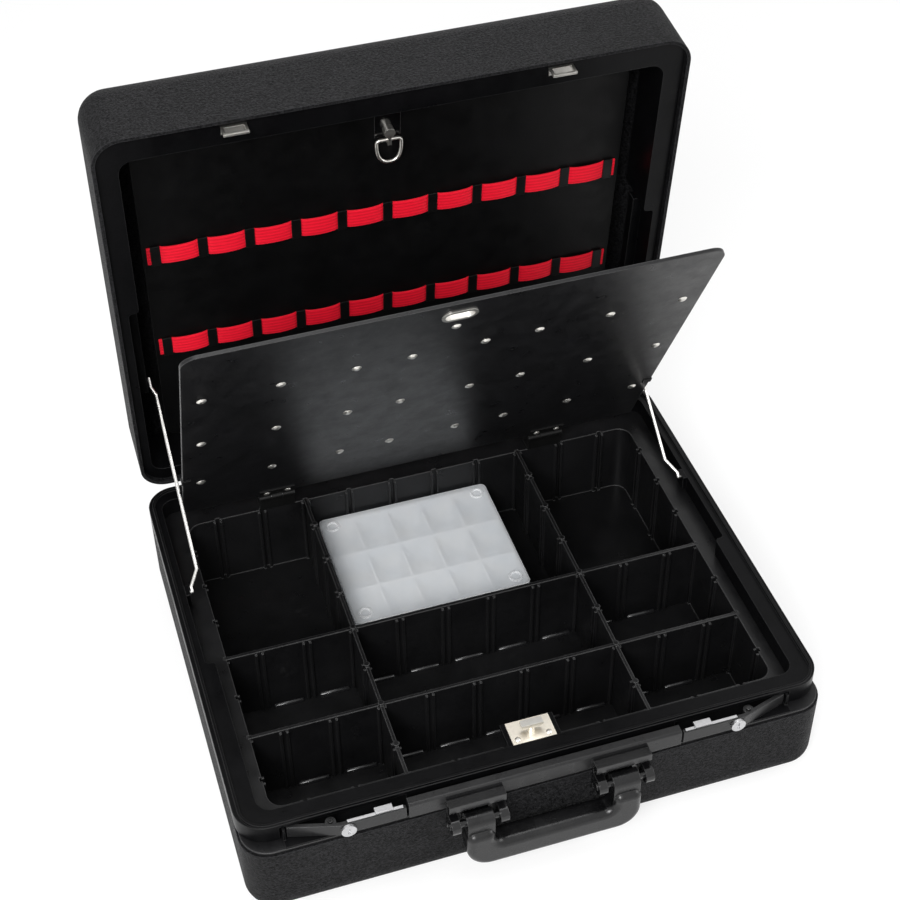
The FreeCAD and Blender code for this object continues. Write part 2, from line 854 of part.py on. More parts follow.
latch_low = flange_top + s.housing_floor + s.parting_gap
latch_high = latch_low + s.latch_height
pivot_y = band_front + s.latch_pivot_set
housing_top = flange_top + s.housing_floor
pins = []
for side, sign in SIDES:
    pivot_x = sign * s.latch_pivot
    housing_x = (sign * (s.band_half_width + 0.5), sign * (s.latch_outer + s.latch_end_gap))
    wall_x = (sign * (s.latch_outer + s.latch_end_gap / 2), housing_x[1])
    housing_y = (band_front + 2, frame_front - 0.3)
    node("latch_housing_" + side, fuse("latch_housing_" + side, [
        box("housing_floor_" + side, housing_x, housing_y, (flange_top, housing_top)),
        box("housing_end_" + side, wall_x, (band_front + s.latch_slant - 2, frame_front - 0.3),
            (flange_top, latch_high)),
    ]))
    pins.append(rod("latch_pin_" + side, "z", s.pin_radius, (housing_top, latch_high + s.hook_plate + 0.5),
                    (pivot_x, pivot_y)))

    lever = new_body("rocker_moulding_" + side)
    art = sketch(lever, "rocker_outline_" + side, "floor", latch_low)
    back = band_front + s.latch_thickness
    outline = [
        (s.latch_inner, band_front), (s.latch_bend, band_front),
        (s.latch_outer, band_front + s.latch_slant),
        (s.latch_outer, back + s.latch_slant), (s.latch_bend, back), (s.latch_inner, back),
    ]
    add_polygon(art, [(sign * x, y) for x, y in outline])
    pad(lever, art, s.latch_height)
    art = sketch(lever, "rocker_boss_" + side, "floor", latch_low)
    add_circle(art, pivot_x, pivot_y, s.pin_radius + 2.2)
    pad(lever, art, s.latch_height)
    art = sketch(lever, "rocker_bore_" + side, "floor", latch_high)
    add_circle(art, pivot_x, pivot_y, s.pin_radius + s.running_play)
    pocket(lever, art, s.latch_height)
    lock_x = sign * s.lock_place
    lock_z = latch_low + s.latch_height / 2
    lock_bore = rod("lock_bore_" + side, "y", s.lock_stem_radius + s.running_play,
                    (band_front - 1, back + 1), (lock_x, lock_z))
    node("rocker_" + side, cut("rocker_" + side, lever, [lock_bore]))

    stem_span = (band_front - s.parting_gap, back - s.parting_gap)
    cap_span = (stem_span[0] - s.lock_stand, stem_span[0])
    barrel = fuse("lock_body_" + side, [
        rod("lock_stem_" + side, "y", s.lock_stem_radius, stem_span, (lock_x, lock_z)),
        rod("lock_cap_" + side, "y", s.lock_radius, cap_span, (lock_x, lock_z)),
    ])
    key = box("key_slot_" + side, (lock_x - s.key_slot / 2, lock_x + s.key_slot / 2),
              (cap_span[0] - 1, cap_span[0] + s.lock_stand / 2),
              (lock_z - s.lock_stem_radius, lock_z + s.lock_stem_radius))
    node("lock_barrel_" + side, cut("lock_barrel_" + side, barrel, [key]))

    hook_top = latch_high + s.hook_rise
    hook_y = band_front + 1
    finger_half = s.strike_width / 2 - s.strike_bar - 1
    claw_x = (sign * (s.strike_place - finger_half), sign * (s.strike_place + finger_half))
    plate_top = latch_high + s.hook_plate
    node("latch_hook_" + side, fuse("latch_hook_" + side, [
        box("hook_strip_" + side, (sign * (s.latch_inner + 2), sign * s.lock_place),
            (hook_y, back), (latch_high, plate_top)),
        box("hook_claw_" + side, claw_x, (hook_y, hook_y + s.hook_finger), (latch_high, hook_top)),
        box("hook_finger_" + side, claw_x, (hook_y, hook_y + s.hook_reach),
            (hook_top - s.hook_finger, hook_top)),
    ]))

    strike_y = (s.strike_front, s.strike_front + s.strike_thickness)
    strike_half = s.strike_width / 2
    strike_x = (sign * (s.strike_place - strike_half), sign * (s.strike_place + strike_half))
    window_x = (sign * (s.strike_place - strike_half + s.strike_bar),
                sign * (s.strike_place + strike_half - s.strike_bar))
    foot_y = (s.strike_front, s.strike_front + s.strike_foot)
    staple = fuse("striker_blank_" + side, [
        box("striker_plate_" + side, strike_x, strike_y, (s.strike_low, lid_ledge)),
        box("striker_foot_" + side, strike_x, foot_y, (lid_ledge - s.catch_plate, lid_ledge)),
    ])
    window = box("striker_window_" + side, window_x, (strike_y[0] - 1, strike_y[1] + 1),
                 (s.strike_low + s.strike_bar, lid_ledge - s.catch_plate - 1))
    node("striker_" + side, cut("striker_" + side, staple, [window]), lid_turn)
node("latch_pins", group("latch_pins", pins))


# Handle with its brackets and rods

axis_y = band_front - s.handle_axis_out
axis_z = s.handle_axis_height
rods = []
for side, sign in SIDES:
    half_bracket = s.bracket_width / 2
    low_x = sign * s.bracket_place - half_bracket
    high_x = sign * s.bracket_place + half_bracket
    plate_y = (band_front - s.bracket_plate, band_front)
    parts = [box("bracket_plate_" + side, (low_x, high_x), plate_y, (s.bracket_low, s.bracket_high))]
    for ear_x in ((low_x, low_x + s.ear_width), (high_x - s.ear_width, high_x)):
        parts.append(rod("bracket_eye_" + side, "x", s.ear_radius, ear_x, (axis_y, axis_z)))
        parts.append(box("bracket_ear_" + side, ear_x, (axis_y, band_front),
                         (axis_z - s.ear_radius, axis_z + s.ear_radius)))
    parts.append(box("bracket_hood_" + side, (low_x, high_x), (axis_y + s.ear_radius / 4, band_front),
                     (s.bracket_high - s.ear_width, s.bracket_high)))
    bore = rod("bracket_bore_" + side, "x", s.rod_radius, (low_x - 1, high_x + 1), (axis_y, axis_z))
    node("handle_bracket_" + side, cut("handle_bracket_" + side, fuse("bracket_blank_" + side, parts), [bore]))
    rods.append(rod("handle_rod_" + side, "x", s.rod_radius, (low_x - 1, high_x + 1), (axis_y, axis_z)))
node("handle_rods", group("handle_rods", rods))

handle = new_body("handle_moulding")
half_grip = s.grip_thickness / 2
art = sketch(handle, "grip_outline", "front", -axis_y - half_grip + s.grip_set)
inner_half = s.bracket_place - s.arm_width / 2
stub_top = s.grip_high + s.grip_inside_radius + s.grip_round + 2
stub_radius = s.grip_round + 0.5
add_outline(art, [
    (-s.grip_half_width, s.grip_low, s.grip_radius), (s.grip_half_width, s.grip_low, s.grip_radius),
    (s.grip_half_width, stub_top, stub_radius), (inner_half, stub_top, stub_radius),
    (inner_half, s.grip_high, s.grip_inside_radius), (-inner_half, s.grip_high, s.grip_inside_radius),
    (-inner_half, stub_top, stub_radius), (-s.grip_half_width, stub_top, stub_radius),
])
pad(handle, art, s.grip_thickness)
round_edges(handle, s.grip_round, lambda edge: abs(edge.BoundBox.YLength) < 0.01)
arms = [handle]
bores = []
for side, sign in SIDES:
    arm_x = (sign * s.bracket_place - s.arm_width / 2, sign * s.bracket_place + s.arm_width / 2)
    arms.append(rod("arm_eye_" + side, "x", s.arm_radius, arm_x, (axis_y, axis_z)))
    arms.append(box("arm_" + side, arm_x, (axis_y - s.arm_radius, axis_y + s.arm_radius),
                    (s.grip_high - s.grip_inside_radius, axis_z)))
    bores.append(rod("arm_bore_" + side, "x", s.rod_radius + s.running_play, arm_x, (axis_y, axis_z)))
node("handle", cut("handle", fuse("handle_blank", arms), bores))


# Lid hinges on the back

knuckle = s.hinge_width / 5
hinge_pins = []
leaves = {"base": [], "lid": []}
rivets = {"base": [], "lid": []}
for side, sign in SIDES:
    centre = sign * s.hinge_place
    left = centre - s.hinge_width / 2
    wall_y = (half_depth, half_depth + s.hinge_leaf)
    reach = {
        "base": (s.parting_height - s.hinge_leaf_height, hinge_z - s.knuckle_radius - s.knuckle_gap),
        "lid": (hinge_z + s.knuckle_radius + s.knuckle_gap, lid_bottom + s.hinge_leaf_height),
    }
    turns = {"base": (0, 2, 4), "lid": (1, 3)}
    for part in ("base", "lid"):
        right = centre + s.hinge_width / 2
        parts = [box("leaf_%s_%s" % (part, side), (left, right), wall_y, reach[part])]
        for index in turns[part]:
            span = (left + knuckle * index + s.knuckle_gap / 2, left + knuckle * (index + 1) - s.knuckle_gap / 2)
            neck_z = (reach["base"][1], hinge_z) if part == "base" else (hinge_z, reach["lid"][0])
            parts.append(rod("knuckle_%s_%s" % (part, side), "x", s.knuckle_radius, span, (hinge_y, hinge_z)))
            parts.append(box("neck_%s_%s" % (part, side), span, (hinge_y - s.hinge_leaf / 2, wall_y[1] + 1),
                             neck_z))
            parts.append(box("root_%s_%s" % (part, side), span, (wall_y[0], wall_y[1] + 1),
                             ordered(neck_z[0] if part == "base" else neck_z[1],
                                     neck_z[0] - 1 if part == "base" else neck_z[1] + 1)))
        bore = rod("knuckle_bore_%s_%s" % (part, side), "x", s.hinge_pin_radius + s.running_play,
                   (left - 1, right + 1), (hinge_y, hinge_z))
        blank = fuse("leaf_blank_%s_%s" % (part, side), parts)
        leaves[part].append(cut("hinge_leaf_%s_%s" % (part, side), blank, [bore]))
        level = (reach[part][0] + reach[part][1]) / 2
        for shift in (-s.hinge_rivet_spread, 0 * s.hinge_rivet_spread, s.hinge_rivet_spread):
            rivets[part].append(cone(
                "hinge_rivet_%s_%s" % (part, side), "y", (s.hinge_rivet_radius, s.hinge_rivet_radius / 2),
                (wall_y[1], wall_y[1] + 1), (centre + shift, level)))
    hinge_pins.append(rod("hinge_pin_" + side, "x", s.hinge_pin_radius, (left, centre + s.hinge_width / 2),
                          (hinge_y, hinge_z)))
node("hinge_leaves_base", group("hinge_leaves_base", leaves["base"]))
node("hinge_leaves_lid", group("hinge_leaves_lid", leaves["lid"]), lid_turn)
node("hinge_pins", group("hinge_pins", hinge_pins))
node("hinge_rivets_base", group("hinge_rivets_base", rivets["base"]))
node("hinge_rivets_lid", group("hinge_rivets_lid", rivets["lid"]), lid_turn)


# Wire stays, with the blocks they turn in and the keepers on the lid

blocks = []
keepers = []
for side, sign in SIDES:
    block_low = s.recess_half_width - s.stay_block_width
    jog_y = s.stay_length - s.stay_jog_length
    turn_y = s.stay_length - s.stay_jog_length / 2
    none = as_size(0)
    course = [
        (s.recess_half_width - 1 - s.stay_plane, none), (s.stay_foot, none), (s.stay_foot, s.stay_foot_start),
        (none, s.stay_foot_start + s.stay_foot_length), (none, jog_y),
        (s.stay_jog, turn_y), (s.stay_jog, s.stay_length),
    ]
    course = [(sign * (s.stay_plane + x), s.stay_axis_y + y) for x, y in course]
    wire = bent_wire("stay_" + side, s.wire_radius, s.stay_axis_z, course)
    node("stay_" + side, wire, (s.stay_axis_y, s.stay_axis_z, -s.stay_angle))

    block_x = (sign * block_low, sign * s.recess_half_width)
    block_y = (s.stay_axis_y - s.stay_block_depth / 2, s.stay_axis_y + s.stay_block_depth / 2)
    body = box("stay_block_blank_" + side, block_x, block_y, (s.stay_block_low, s.parting_height))
    bore = rod("stay_bore_" + side, "x", s.wire_radius + s.running_play,
               (sign * (block_low - 1), sign * (s.recess_half_width + 1)), (s.stay_axis_y, s.stay_axis_z))
    blocks.append(cut("stay_block_" + side, body, [bore]))
    keeper_y = (s.recess_front + 2 * s.skirt_wall, s.recess_front + s.keeper_length)
    keeper_low = s.stay_plane + s.stay_jog + s.wire_radius + s.keeper_play
    keepers.append(box("stay_keeper_" + side, (sign * keeper_low, sign * s.recess_half_width), keeper_y,
                       (lid_bottom + s.keeper_low, lid_bottom + s.keeper_high)))
node("stay_blocks", group("stay_blocks", blocks))
node("stay_keepers", group("stay_keepers", keepers), lid_turn)


# Wavy elastic ribbons: loops between the places where the ribbon is held down

def ribbon(name, places, across, low, thickness, bulge, hold, stub, upwards):
    """A ribbon along X that lies flat at each place and arches between neighbours."""
    body = new_body(name)
    art = sketch(body, name + "_profile", "front", -across[1])
    way = 1 if upwards else -1

    def side(level, rise):
        """Corner points of one face of the ribbon from left to right."""
        spots = []
        for index, place in enumerate(places):
            first = index == 0
            last = index + 1 == len(places)
            spots.append((place - hold / 2 - stub if first else place - hold / 2, level))
            spots.append((place + hold / 2 + stub if last else place + hold / 2, level))
            if not last:
                start = place + hold / 2
                gap = places[index + 1] - hold / 2 - start
                for part, share in ((0.15, 0.62), (0.35, 0.95), (0.65, 0.95), (0.85, 0.62)):
                    spots.append((start + gap * part, level + way * rise * share))
        return spots

    inner = side(low, bulge - thickness)
    outer = side(low + way * thickness, bulge - thickness)
    add_polygon(art, inner + outer[::-1])
    pad(body, art, across[1] - across[0])
    return body


def strap(label, distance):
    centre = lid_place(distance)
    across = (centre - s.strap_height / 2, centre + s.strap_height / 2)
    first = -STRAP_LOOPS / 2 * s.strap_pitch
    places = [first + s.strap_pitch * index for index in range(STRAP_LOOPS + 1)]
    node(label, ribbon(label, places, across, board_low, s.strap_thickness, s.strap_bulge,
                       s.strap_bar_width, s.strap_stub, False), lid_turn)
    bar_top = board_low - s.strap_thickness
    return [box(label + "_bar", (place - s.strap_bar_width / 2, place + s.strap_bar_width / 2),
                (across[0] - 1, across[1] + 1), (bar_top - s.strap_bar, bar_top)) for place in places]


bars = strap("strap_upper", s.strap_upper) + strap("strap_lower", s.strap_lower)
node("strap_bars", group("strap_bars", bars), lid_turn)


# Turn lock with its ring on the lid board

plate_y = (lid_place(s.lock_plate_high), lid_place(s.lock_plate_low))
plate_z = (board_low - s.catch_plate, board_low)
stud_y = lid_place(s.stud_place)
node("lid_lock_plate", group("lid_lock_plate", [
    box("lock_plate", (-s.lock_plate_half_width, s.lock_plate_half_width), plate_y, plate_z),
    cone("lock_plate_rivet", "z", (s.hinge_rivet_radius / 2, s.hinge_rivet_radius),
         (plate_z[0] - 1, plate_z[0]), (as_size(0), lid_place(s.lock_plate_high - 8))),
]), lid_turn)
stud_z = (plate_z[0] - s.stud_length, plate_z[0])
lug_y = (stud_y, stud_y + s.stud_lug_length)
ring_z = (stud_z[0] + stud_z[1]) / 2
ring_y = lug_y[1] - s.ring_hole - 1
stud = fuse("stud_blank", [
    rod("stud_post", "z", s.stud_radius, stud_z, (as_size(0), stud_y)),
    box("stud_lug", (-s.stud_lug_width / 2, s.stud_lug_width / 2), lug_y,
        (stud_z[0], stud_z[1] - s.parting_gap)),
])
eye = rod("stud_eye", "x", s.ring_hole, (-s.stud_lug_width, s.stud_lug_width), (ring_y, ring_z))
node("lid_lock_stud", cut("lid_lock_stud", stud, [eye]), lid_turn)
ring = doc.addObject("Part::Torus", "ring_wire")
bind(ring, "Radius1", s.ring_radius)
bind(ring, "Radius2", s.ring_wire)
hang_y = hinge_y + (ring_y - hinge_y) * cosine(s.lid_angle) + (ring_z - hinge_z) * sine(s.lid_angle)
hang_z = hinge_z - (ring_y - hinge_y) * sine(s.lid_angle) + (ring_z - hinge_z) * cosine(s.lid_angle)
set_axis(ring, "y", (hang_y, hang_y), (as_size(0), hang_z - s.ring_radius))
node("lock_ring", group("lock_ring", [ring]))


# Catch plate and turn button for the panel on the front ledge

catch_y = (s.ledge_front + s.board_gap, s.catch_back)
catch_middle = panel_place(s.grommet_reach)
catch_z = (plate_low, plate_low + s.catch_plate)
plate = box("catch_blank", (-s.catch_half_width, s.catch_half_width), catch_y, catch_z)
node("catch_plate", group("catch_plate", [plate]))
screws = []
for side, sign in SIDES:
    screws.append(cone("catch_screw_" + side, "z", (s.catch_screw_radius, s.catch_screw_radius / 2),
                       (catch_z[1], catch_z[1] + s.grommet_flange),
                       (sign * s.catch_screw_place, catch_y[0] + s.catch_screw_set)))
node("catch_screws", group("catch_screws", screws))
button_z = (s.button_low, s.button_low + s.button_thickness)
node("catch_button", fuse("catch_button", [
    rod("button_stem", "z", s.button_stem, (catch_z[1], button_z[1]), (as_size(0), catch_middle)),
    box("button_bar", (-s.button_length / 2, s.button_length / 2),
        (catch_middle - s.button_width / 2, catch_middle + s.button_width / 2), button_z),
]))


# Tool panel with rivets, loops, grommet, clips and hinges

panel = new_body("panel_sheet")
art = sketch(panel, "panel_outline", "floor", panel_low)
add_outline(art, [
    (-s.panel_half_width, panel_place(s.panel_reach), s.panel_corner),
    (s.panel_half_width, panel_place(s.panel_reach), s.panel_corner),
    (s.panel_half_width, panel_place(s.panel_heel), s.rib_size),
    (-s.panel_half_width, panel_place(s.panel_heel), s.rib_size),
])
pad(panel, art, s.panel_thickness)


def oval(name, half_length, half_height, z):
    """A flat-sided oval across the grommet place."""
    middle = panel_place(s.grommet_reach)
    straight = half_length - half_height
    return fuse(name, [
        box(name + "_middle", (-straight, straight), (middle - half_height, middle + half_height), z),
        rod(name + "_left", "z", half_height, z, (-straight, middle)),
        rod(name + "_right", "z", half_height, z, (straight, middle)),
    ])


rows = [s.rivet_row_low + s.rivet_row_step * index for index in range(3)]
columns = [sign * place for place in (s.rivet_far, s.rivet_outer, s.rivet_inner, s.rivet_near)
           for sign in (-1, 1)]
columns.sort(key=lambda size: size.value)
rivet_spots = [(x, row) for row in rows for x in columns]
panel_rivets = []
holes = []
for index, (x, row) in enumerate(rivet_spots + [(as_size(0), s.single_rivet_reach)]):
    spot_y = panel_place(row)
    single = index == len(rivet_spots)
    rear = panel_high if single else panel_high + s.loop_thickness
    panel_rivets.append(fuse("panel_rivet_%d" % index, [
        cone("rivet_head_%d" % index, "z", (s.rivet_head_radius / 2, s.rivet_head_radius),
             (panel_low - s.rivet_head, panel_low), (x, spot_y)),
        rod("rivet_shank_%d" % index, "z", s.rivet_shank, (panel_low, rear), (x, spot_y)),
        rod("rivet_tail_%d" % index, "z", s.rivet_head_radius - 1, (rear, rear + 0.8), (x, spot_y)),
    ]))
    holes.append(rod("rivet_hole_%d" % index, "z", s.rivet_shank, (panel_low - 1, panel_high + 8), (x, spot_y)))
bore = oval("grommet_seat", s.grommet_half_length, s.grommet_half_height, (panel_low - 1, panel_high + 1))
node("tool_panel", cut("tool_panel", panel, holes + [bore]), panel_turn)
node("panel_rivets", group("panel_rivets", panel_rivets), panel_turn)
loops = []
for index, row in enumerate(rows):
    centre = panel_place(row)
    across = (centre - s.loop_height / 2, centre + s.loop_height / 2)
    band = ribbon("loop_band_%d" % index, columns, across, panel_high, s.loop_thickness, s.loop_bulge,
                  2 * s.rivet_head_radius, as_size(0), True)
    loops.append(cut("loop_strip_%d" % index, band, [holes[index * len(columns) + k] for k in range(len(columns))]))
node("panel_loops", group("panel_loops", loops), panel_turn)

flange_z = s.grommet_flange
flange_grow = s.grommet_rim
tube_z = (panel_low - flange_z, panel_high + flange_z)
grommet = fuse("grommet_blank", [
    oval("grommet_tube", s.grommet_half_length, s.grommet_half_height, tube_z),
    oval("grommet_front", s.grommet_half_length + flange_grow, s.grommet_half_height + flange_grow,
         (tube_z[0], panel_low)),
    oval("grommet_rear", s.grommet_half_length + flange_grow, s.grommet_half_height + flange_grow,
         (panel_high, tube_z[1])),
])
clear_bore = oval("grommet_bore", s.grommet_half_length - s.grommet_flange,
                  s.grommet_half_height - s.grommet_flange, (tube_z[0] - 1, tube_z[1] + 1))
node("panel_grommet", cut("panel_grommet", grommet, [clear_bore]), panel_turn)

clips = []
clip_half = s.clip_size / 2
for side, sign in SIDES:
    clip_y = (panel_place(s.clip_reach + clip_half), panel_place(s.clip_reach - clip_half))
    edge_x = (sign * (s.panel_half_width - s.clip_size), sign * (s.panel_half_width + 1))
    clips.append(fuse("panel_clip_" + side, [
        box("clip_front_" + side, edge_x, clip_y, (panel_low - s.panel_lift / 2, panel_low)),
        box("clip_edge_" + side, (sign * s.panel_half_width, edge_x[1]), clip_y,
            (panel_low - s.panel_lift / 2, panel_high + s.panel_lift / 2)),
        box("clip_rear_" + side, edge_x, clip_y, (panel_high, panel_high + s.panel_lift / 2)),
    ]))
node("panel_clips", group("panel_clips", clips), panel_turn)

moving = []
fixed = []
panel_pins = []
hinge_heads = []
third = s.panel_hinge_width / 3
for side, sign in SIDES:
    centre = sign * s.panel_hinge_place
    left = centre - s.panel_hinge_width / 2
    right = centre + s.panel_hinge_width / 2
    axis = (s.panel_axis_y, s.panel_axis_z)
    inner_x = (left + third + s.knuckle_gap / 2, right - third - s.knuckle_gap / 2)
    bore = rod("panel_bore_" + side, "x", s.panel_pin_radius + s.running_play, (left - 1, right + 1), axis)
    leaf_z = (panel_low - s.panel_hinge_leaf, panel_low)
    moving.append(cut("panel_leaf_" + side, fuse("panel_leaf_blank_" + side, [
        box("panel_leaf_plate_" + side, (left, right),
            (panel_place(s.panel_leaf_length), panel_place(s.panel_knuckle + s.knuckle_gap)), leaf_z),
        box("panel_leaf_neck_" + side, inner_x, (panel_place(s.panel_leaf_length), s.panel_axis_y), leaf_z),
        rod("panel_leaf_knuckle_" + side, "x", s.panel_knuckle, inner_x, axis),
    ]), [bore]))
    post_y = (s.panel_axis_y + s.panel_knuckle - s.panel_hinge_leaf, s.panel_axis_y + s.panel_knuckle)
    foot_y = (post_y[0], post_y[0] + s.panel_foot_depth)
    parts = [
        box("panel_post_" + side, (left, right), post_y,
            (flange_top, s.panel_axis_z - s.panel_knuckle - s.knuckle_gap)),
        box("panel_foot_" + side, (left, right), foot_y, (flange_top, flange_top + s.panel_hinge_leaf)),
    ]
    for end_x in ((left, left + third - s.knuckle_gap / 2), (right - third + s.knuckle_gap / 2, right)):
        parts.append(rod("panel_base_knuckle_" + side, "x", s.panel_knuckle, end_x, axis))
        parts.append(box("panel_base_neck_" + side, end_x, post_y, (flange_top, s.panel_axis_z)))
    fixed.append(cut("panel_bracket_" + side, fuse("panel_bracket_blank_" + side, parts), [bore]))
    panel_pins.append(rod("panel_pin_" + side, "x", s.panel_pin_radius, (left, right), axis))
    for shift in (-s.panel_rivet_spread, s.panel_rivet_spread):
        hinge_heads.append(cone("panel_hinge_rivet_" + side, "z", (s.rivet_head_radius / 2, s.rivet_head_radius - 1),
                                (leaf_z[0] - 1, leaf_z[0]), (centre + shift, panel_place(s.panel_rivet_place))))
node("panel_hinge_leaves", group("panel_hinge_leaves", moving), panel_turn)
node("panel_hinge_brackets", group("panel_hinge_brackets", fixed))
node("panel_hinge_pins", group("panel_hinge_pins", panel_pins))
node("panel_hinge_rivets", group("panel_hinge_rivets", hinge_heads), panel_turn)


# Assortment box with cells and a lid

box_x = (s.box_left, s.box_right)
box_y = (s.box_front, s.box_back)
box_top = floor_top + s.box_height
tub = new_body("box_tub")
art = sketch(tub, "box_outline", "floor", floor_top)
add_outline(art, rounded(box_x, box_y, s.box_radius))
pad(tub, art, s.box_height)
cell_x = (s.box_right - s.box_left - 2 * s.box_wall - (BOX_COLUMNS - 1) * s.box_partition) / BOX_COLUMNS
cell_y = (s.box_back - s.box_front - 2 * s.box_wall - (BOX_ROWS - 1) * s.box_partition) / BOX_ROWS
art = sketch(tub, "box_cells", "floor", box_top)
for column in range(BOX_COLUMNS):
    for line in range(BOX_ROWS):
        cell_left = s.box_left + s.box_wall + (cell_x + s.box_partition) * column
        cell_front = s.box_front + s.box_wall + (cell_y + s.box_partition) * line
        add_polygon(art, [(cell_left, cell_front), (cell_left + cell_x, cell_front),
                          (cell_left + cell_x, cell_front + cell_y), (cell_left, cell_front + cell_y)])
pocket(tub, art, s.box_height - s.box_wall)
node("box_tub", tub)

lid_z = (box_top + s.box_lid_play, box_top + s.box_lid_play + s.box_lid_height)
cover = new_body("box_cover")
art = sketch(cover, "cover_outline", "floor", lid_z[0])
add_outline(art, rounded(box_x, box_y, s.box_radius))
pad(cover, art, s.box_lid_height)
art = sketch(cover, "cover_hollow", "floor", lid_z[0])
add_outline(art, rounded((s.box_left + s.box_wall, s.box_right - s.box_wall),
                         (s.box_front + s.box_wall, s.box_back - s.box_wall), s.box_radius - s.box_wall))
pocket(cover, art, s.box_lid_height - s.box_wall, away=True)
art = sketch(cover, "cover_posts", "floor", lid_z[1])
for post_x in (s.box_left + s.box_post_inset, s.box_right - s.box_post_inset):
    for post_y in (s.box_front + s.box_post_inset, s.box_back - s.box_post_inset):
        add_circle(art, post_x, post_y, s.box_post_radius)
        add_circle(art, post_x, post_y, s.box_post_radius - s.box_post_wall)
pad(cover, art, s.box_post_height)
art = sketch(cover, "cover_clasp", "floor", lid_z[1] - s.box_clasp_height)
clasp_middle = (s.box_left + s.box_right) / 2
add_polygon(art, [(clasp_middle - s.box_clasp_width / 2, s.box_front - s.box_clasp_depth),
                  (clasp_middle + s.box_clasp_width / 2, s.box_front - s.box_clasp_depth),
                  (clasp_middle + s.box_clasp_width / 2, s.box_front - s.box_lid_play),
                  (clasp_middle - s.box_clasp_width / 2, s.box_front - s.box_lid_play)])
pad(cover, art, s.box_clasp_height - s.box_lid_height)
art = sketch(cover, "cover_clasp_root", "floor", lid_z[0])
add_polygon(art, [(clasp_middle - s.box_clasp_width / 2, s.box_front - s.box_clasp_depth),
                  (clasp_middle + s.box_clasp_width / 2, s.box_front - s.box_clasp_depth),
                  (clasp_middle + s.box_clasp_width / 2, s.box_front + s.box_wall),
                  (clasp_middle - s.box_clasp_width / 2, s.box_front + s.box_wall)])
pad(cover, art, s.box_lid_height)
node("box_cover", cover)


# Check every piece and write the files

doc.recompute()
faulty = [item.Name for item in doc.Objects if "Invalid" in item.State or "Error" in item.State]
if faulty:
    raise RuntimeError("objects with errors: %s" % ", ".join(faulty))
for label, item in NODES:
    if item.Shape.isNull() or not item.Shape.isValid() or not item.Shape.Solids:
        raise RuntimeError("no sound solid for %s" % label)
os.makedirs("parts", exist_ok=True)
for label, item in NODES:
    item.Shape.exportStep("parts/%s.step" % label)
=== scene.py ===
import math

import bmesh
import bpy
from mathutils import Matrix, Vector


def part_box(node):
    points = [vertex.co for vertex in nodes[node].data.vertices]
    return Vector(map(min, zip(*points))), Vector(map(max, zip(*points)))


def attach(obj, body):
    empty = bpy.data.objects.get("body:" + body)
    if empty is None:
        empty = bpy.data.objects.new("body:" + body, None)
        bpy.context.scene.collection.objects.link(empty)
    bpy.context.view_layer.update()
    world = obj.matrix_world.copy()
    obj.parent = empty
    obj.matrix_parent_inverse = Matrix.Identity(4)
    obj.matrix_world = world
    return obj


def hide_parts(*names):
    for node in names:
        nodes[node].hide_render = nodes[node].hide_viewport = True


# Looks for the open hard case. Metres, same frame as the CAD model.

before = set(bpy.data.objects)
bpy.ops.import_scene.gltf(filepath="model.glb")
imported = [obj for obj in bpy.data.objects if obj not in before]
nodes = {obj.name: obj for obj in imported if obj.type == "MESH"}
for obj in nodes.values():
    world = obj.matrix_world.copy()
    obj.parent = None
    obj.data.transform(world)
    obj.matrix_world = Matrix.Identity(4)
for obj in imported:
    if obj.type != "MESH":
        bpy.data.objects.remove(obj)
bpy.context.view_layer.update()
scene = bpy.context.scene

# Places taken over from the CAD source: lid and red straps
HINGE_Y = 0.20165
HINGE_Z = 0.09715
LID_ANGLE = math.radians(83)
LID_BACK_Y = 0.19925
LID_LOW_Z = 0.0973
BOARD_LEVEL = 0.042
STRAP_PLACES = (0.2395, 0.133)
STRAP_PITCH = 0.0396
STRAP_LOOPS = 10
STRAP_HEIGHT = 0.0185
STRAP_RISE = 0.0026
STRAP_BAR = 0.008
STRAP_STUB = 0.003
STRAP_THICKNESS = 0.0012

# Places taken over from the CAD source: tool panel and the loops behind it
PANEL_Y = 0.1595
PANEL_Z = 0.0965
PANEL_ANGLE = math.radians(62.5)
PANEL_TOP = 0.1012
LOOP_ROWS = (0.0745, 0.1658, 0.2571)
LOOP_COLUMNS = (-0.197, -0.135, -0.075, -0.030, 0.030, 0.075, 0.135, 0.197)
LOOP_HEIGHT = 0.016
LOOP_RISE = 0.0038
LOOP_HOLD = 0.008
LOOP_THICKNESS = 0.0012

# Places taken over from the CAD source: dividers of the tray
SLOTS = 10
BAY_PITCH = 0.0408
DIVIDER_HALF = 0.0015

# Foot beads: room left at each end of a bay, radius, and the swell along a bead
BAY_MARGIN = 0.0065
BEAD = 0.003
BEAD_STEPS = 8
BEAD_SWELL = ((0.0, 0.25), (0.02, 0.75), (0.06, 1.0), (0.94, 1.0), (0.98, 0.75), (1.0, 0.25))

# Elastic ribbons: mesh steps, shape of an arch, and how one arch differs from the next
STEPS_ACROSS = 8
ARCH_STEPS = 14
HELD_SHARES = (0.0, 0.3, 0.7, 1.0)
ARCH_FULLNESS = 0.6
LOWER_EDGE_DROP = 0.3
SLACK_SWING = 0.07
SLACK_STEP = 2.3
PINCH_SWING = 0.05
PINCH_STEP = 1.7
PINCH_START = 1.0
WOVEN_SHARE = 0.9
SOFT_EDGE_SHARE = 0.3
SOFT_EDGE_STEPS = 2
STRAP_SEEDS = (0.4, 1.9)

# Ring of the turn lock: corner radius as a share of its reach, fullness of the bow, mesh steps
RING_CORNER = 0.3
RING_FULLNESS = 0.8
CORNER_STEPS = 6
BOW_STEPS = 32
WIRE_SIDES = 12

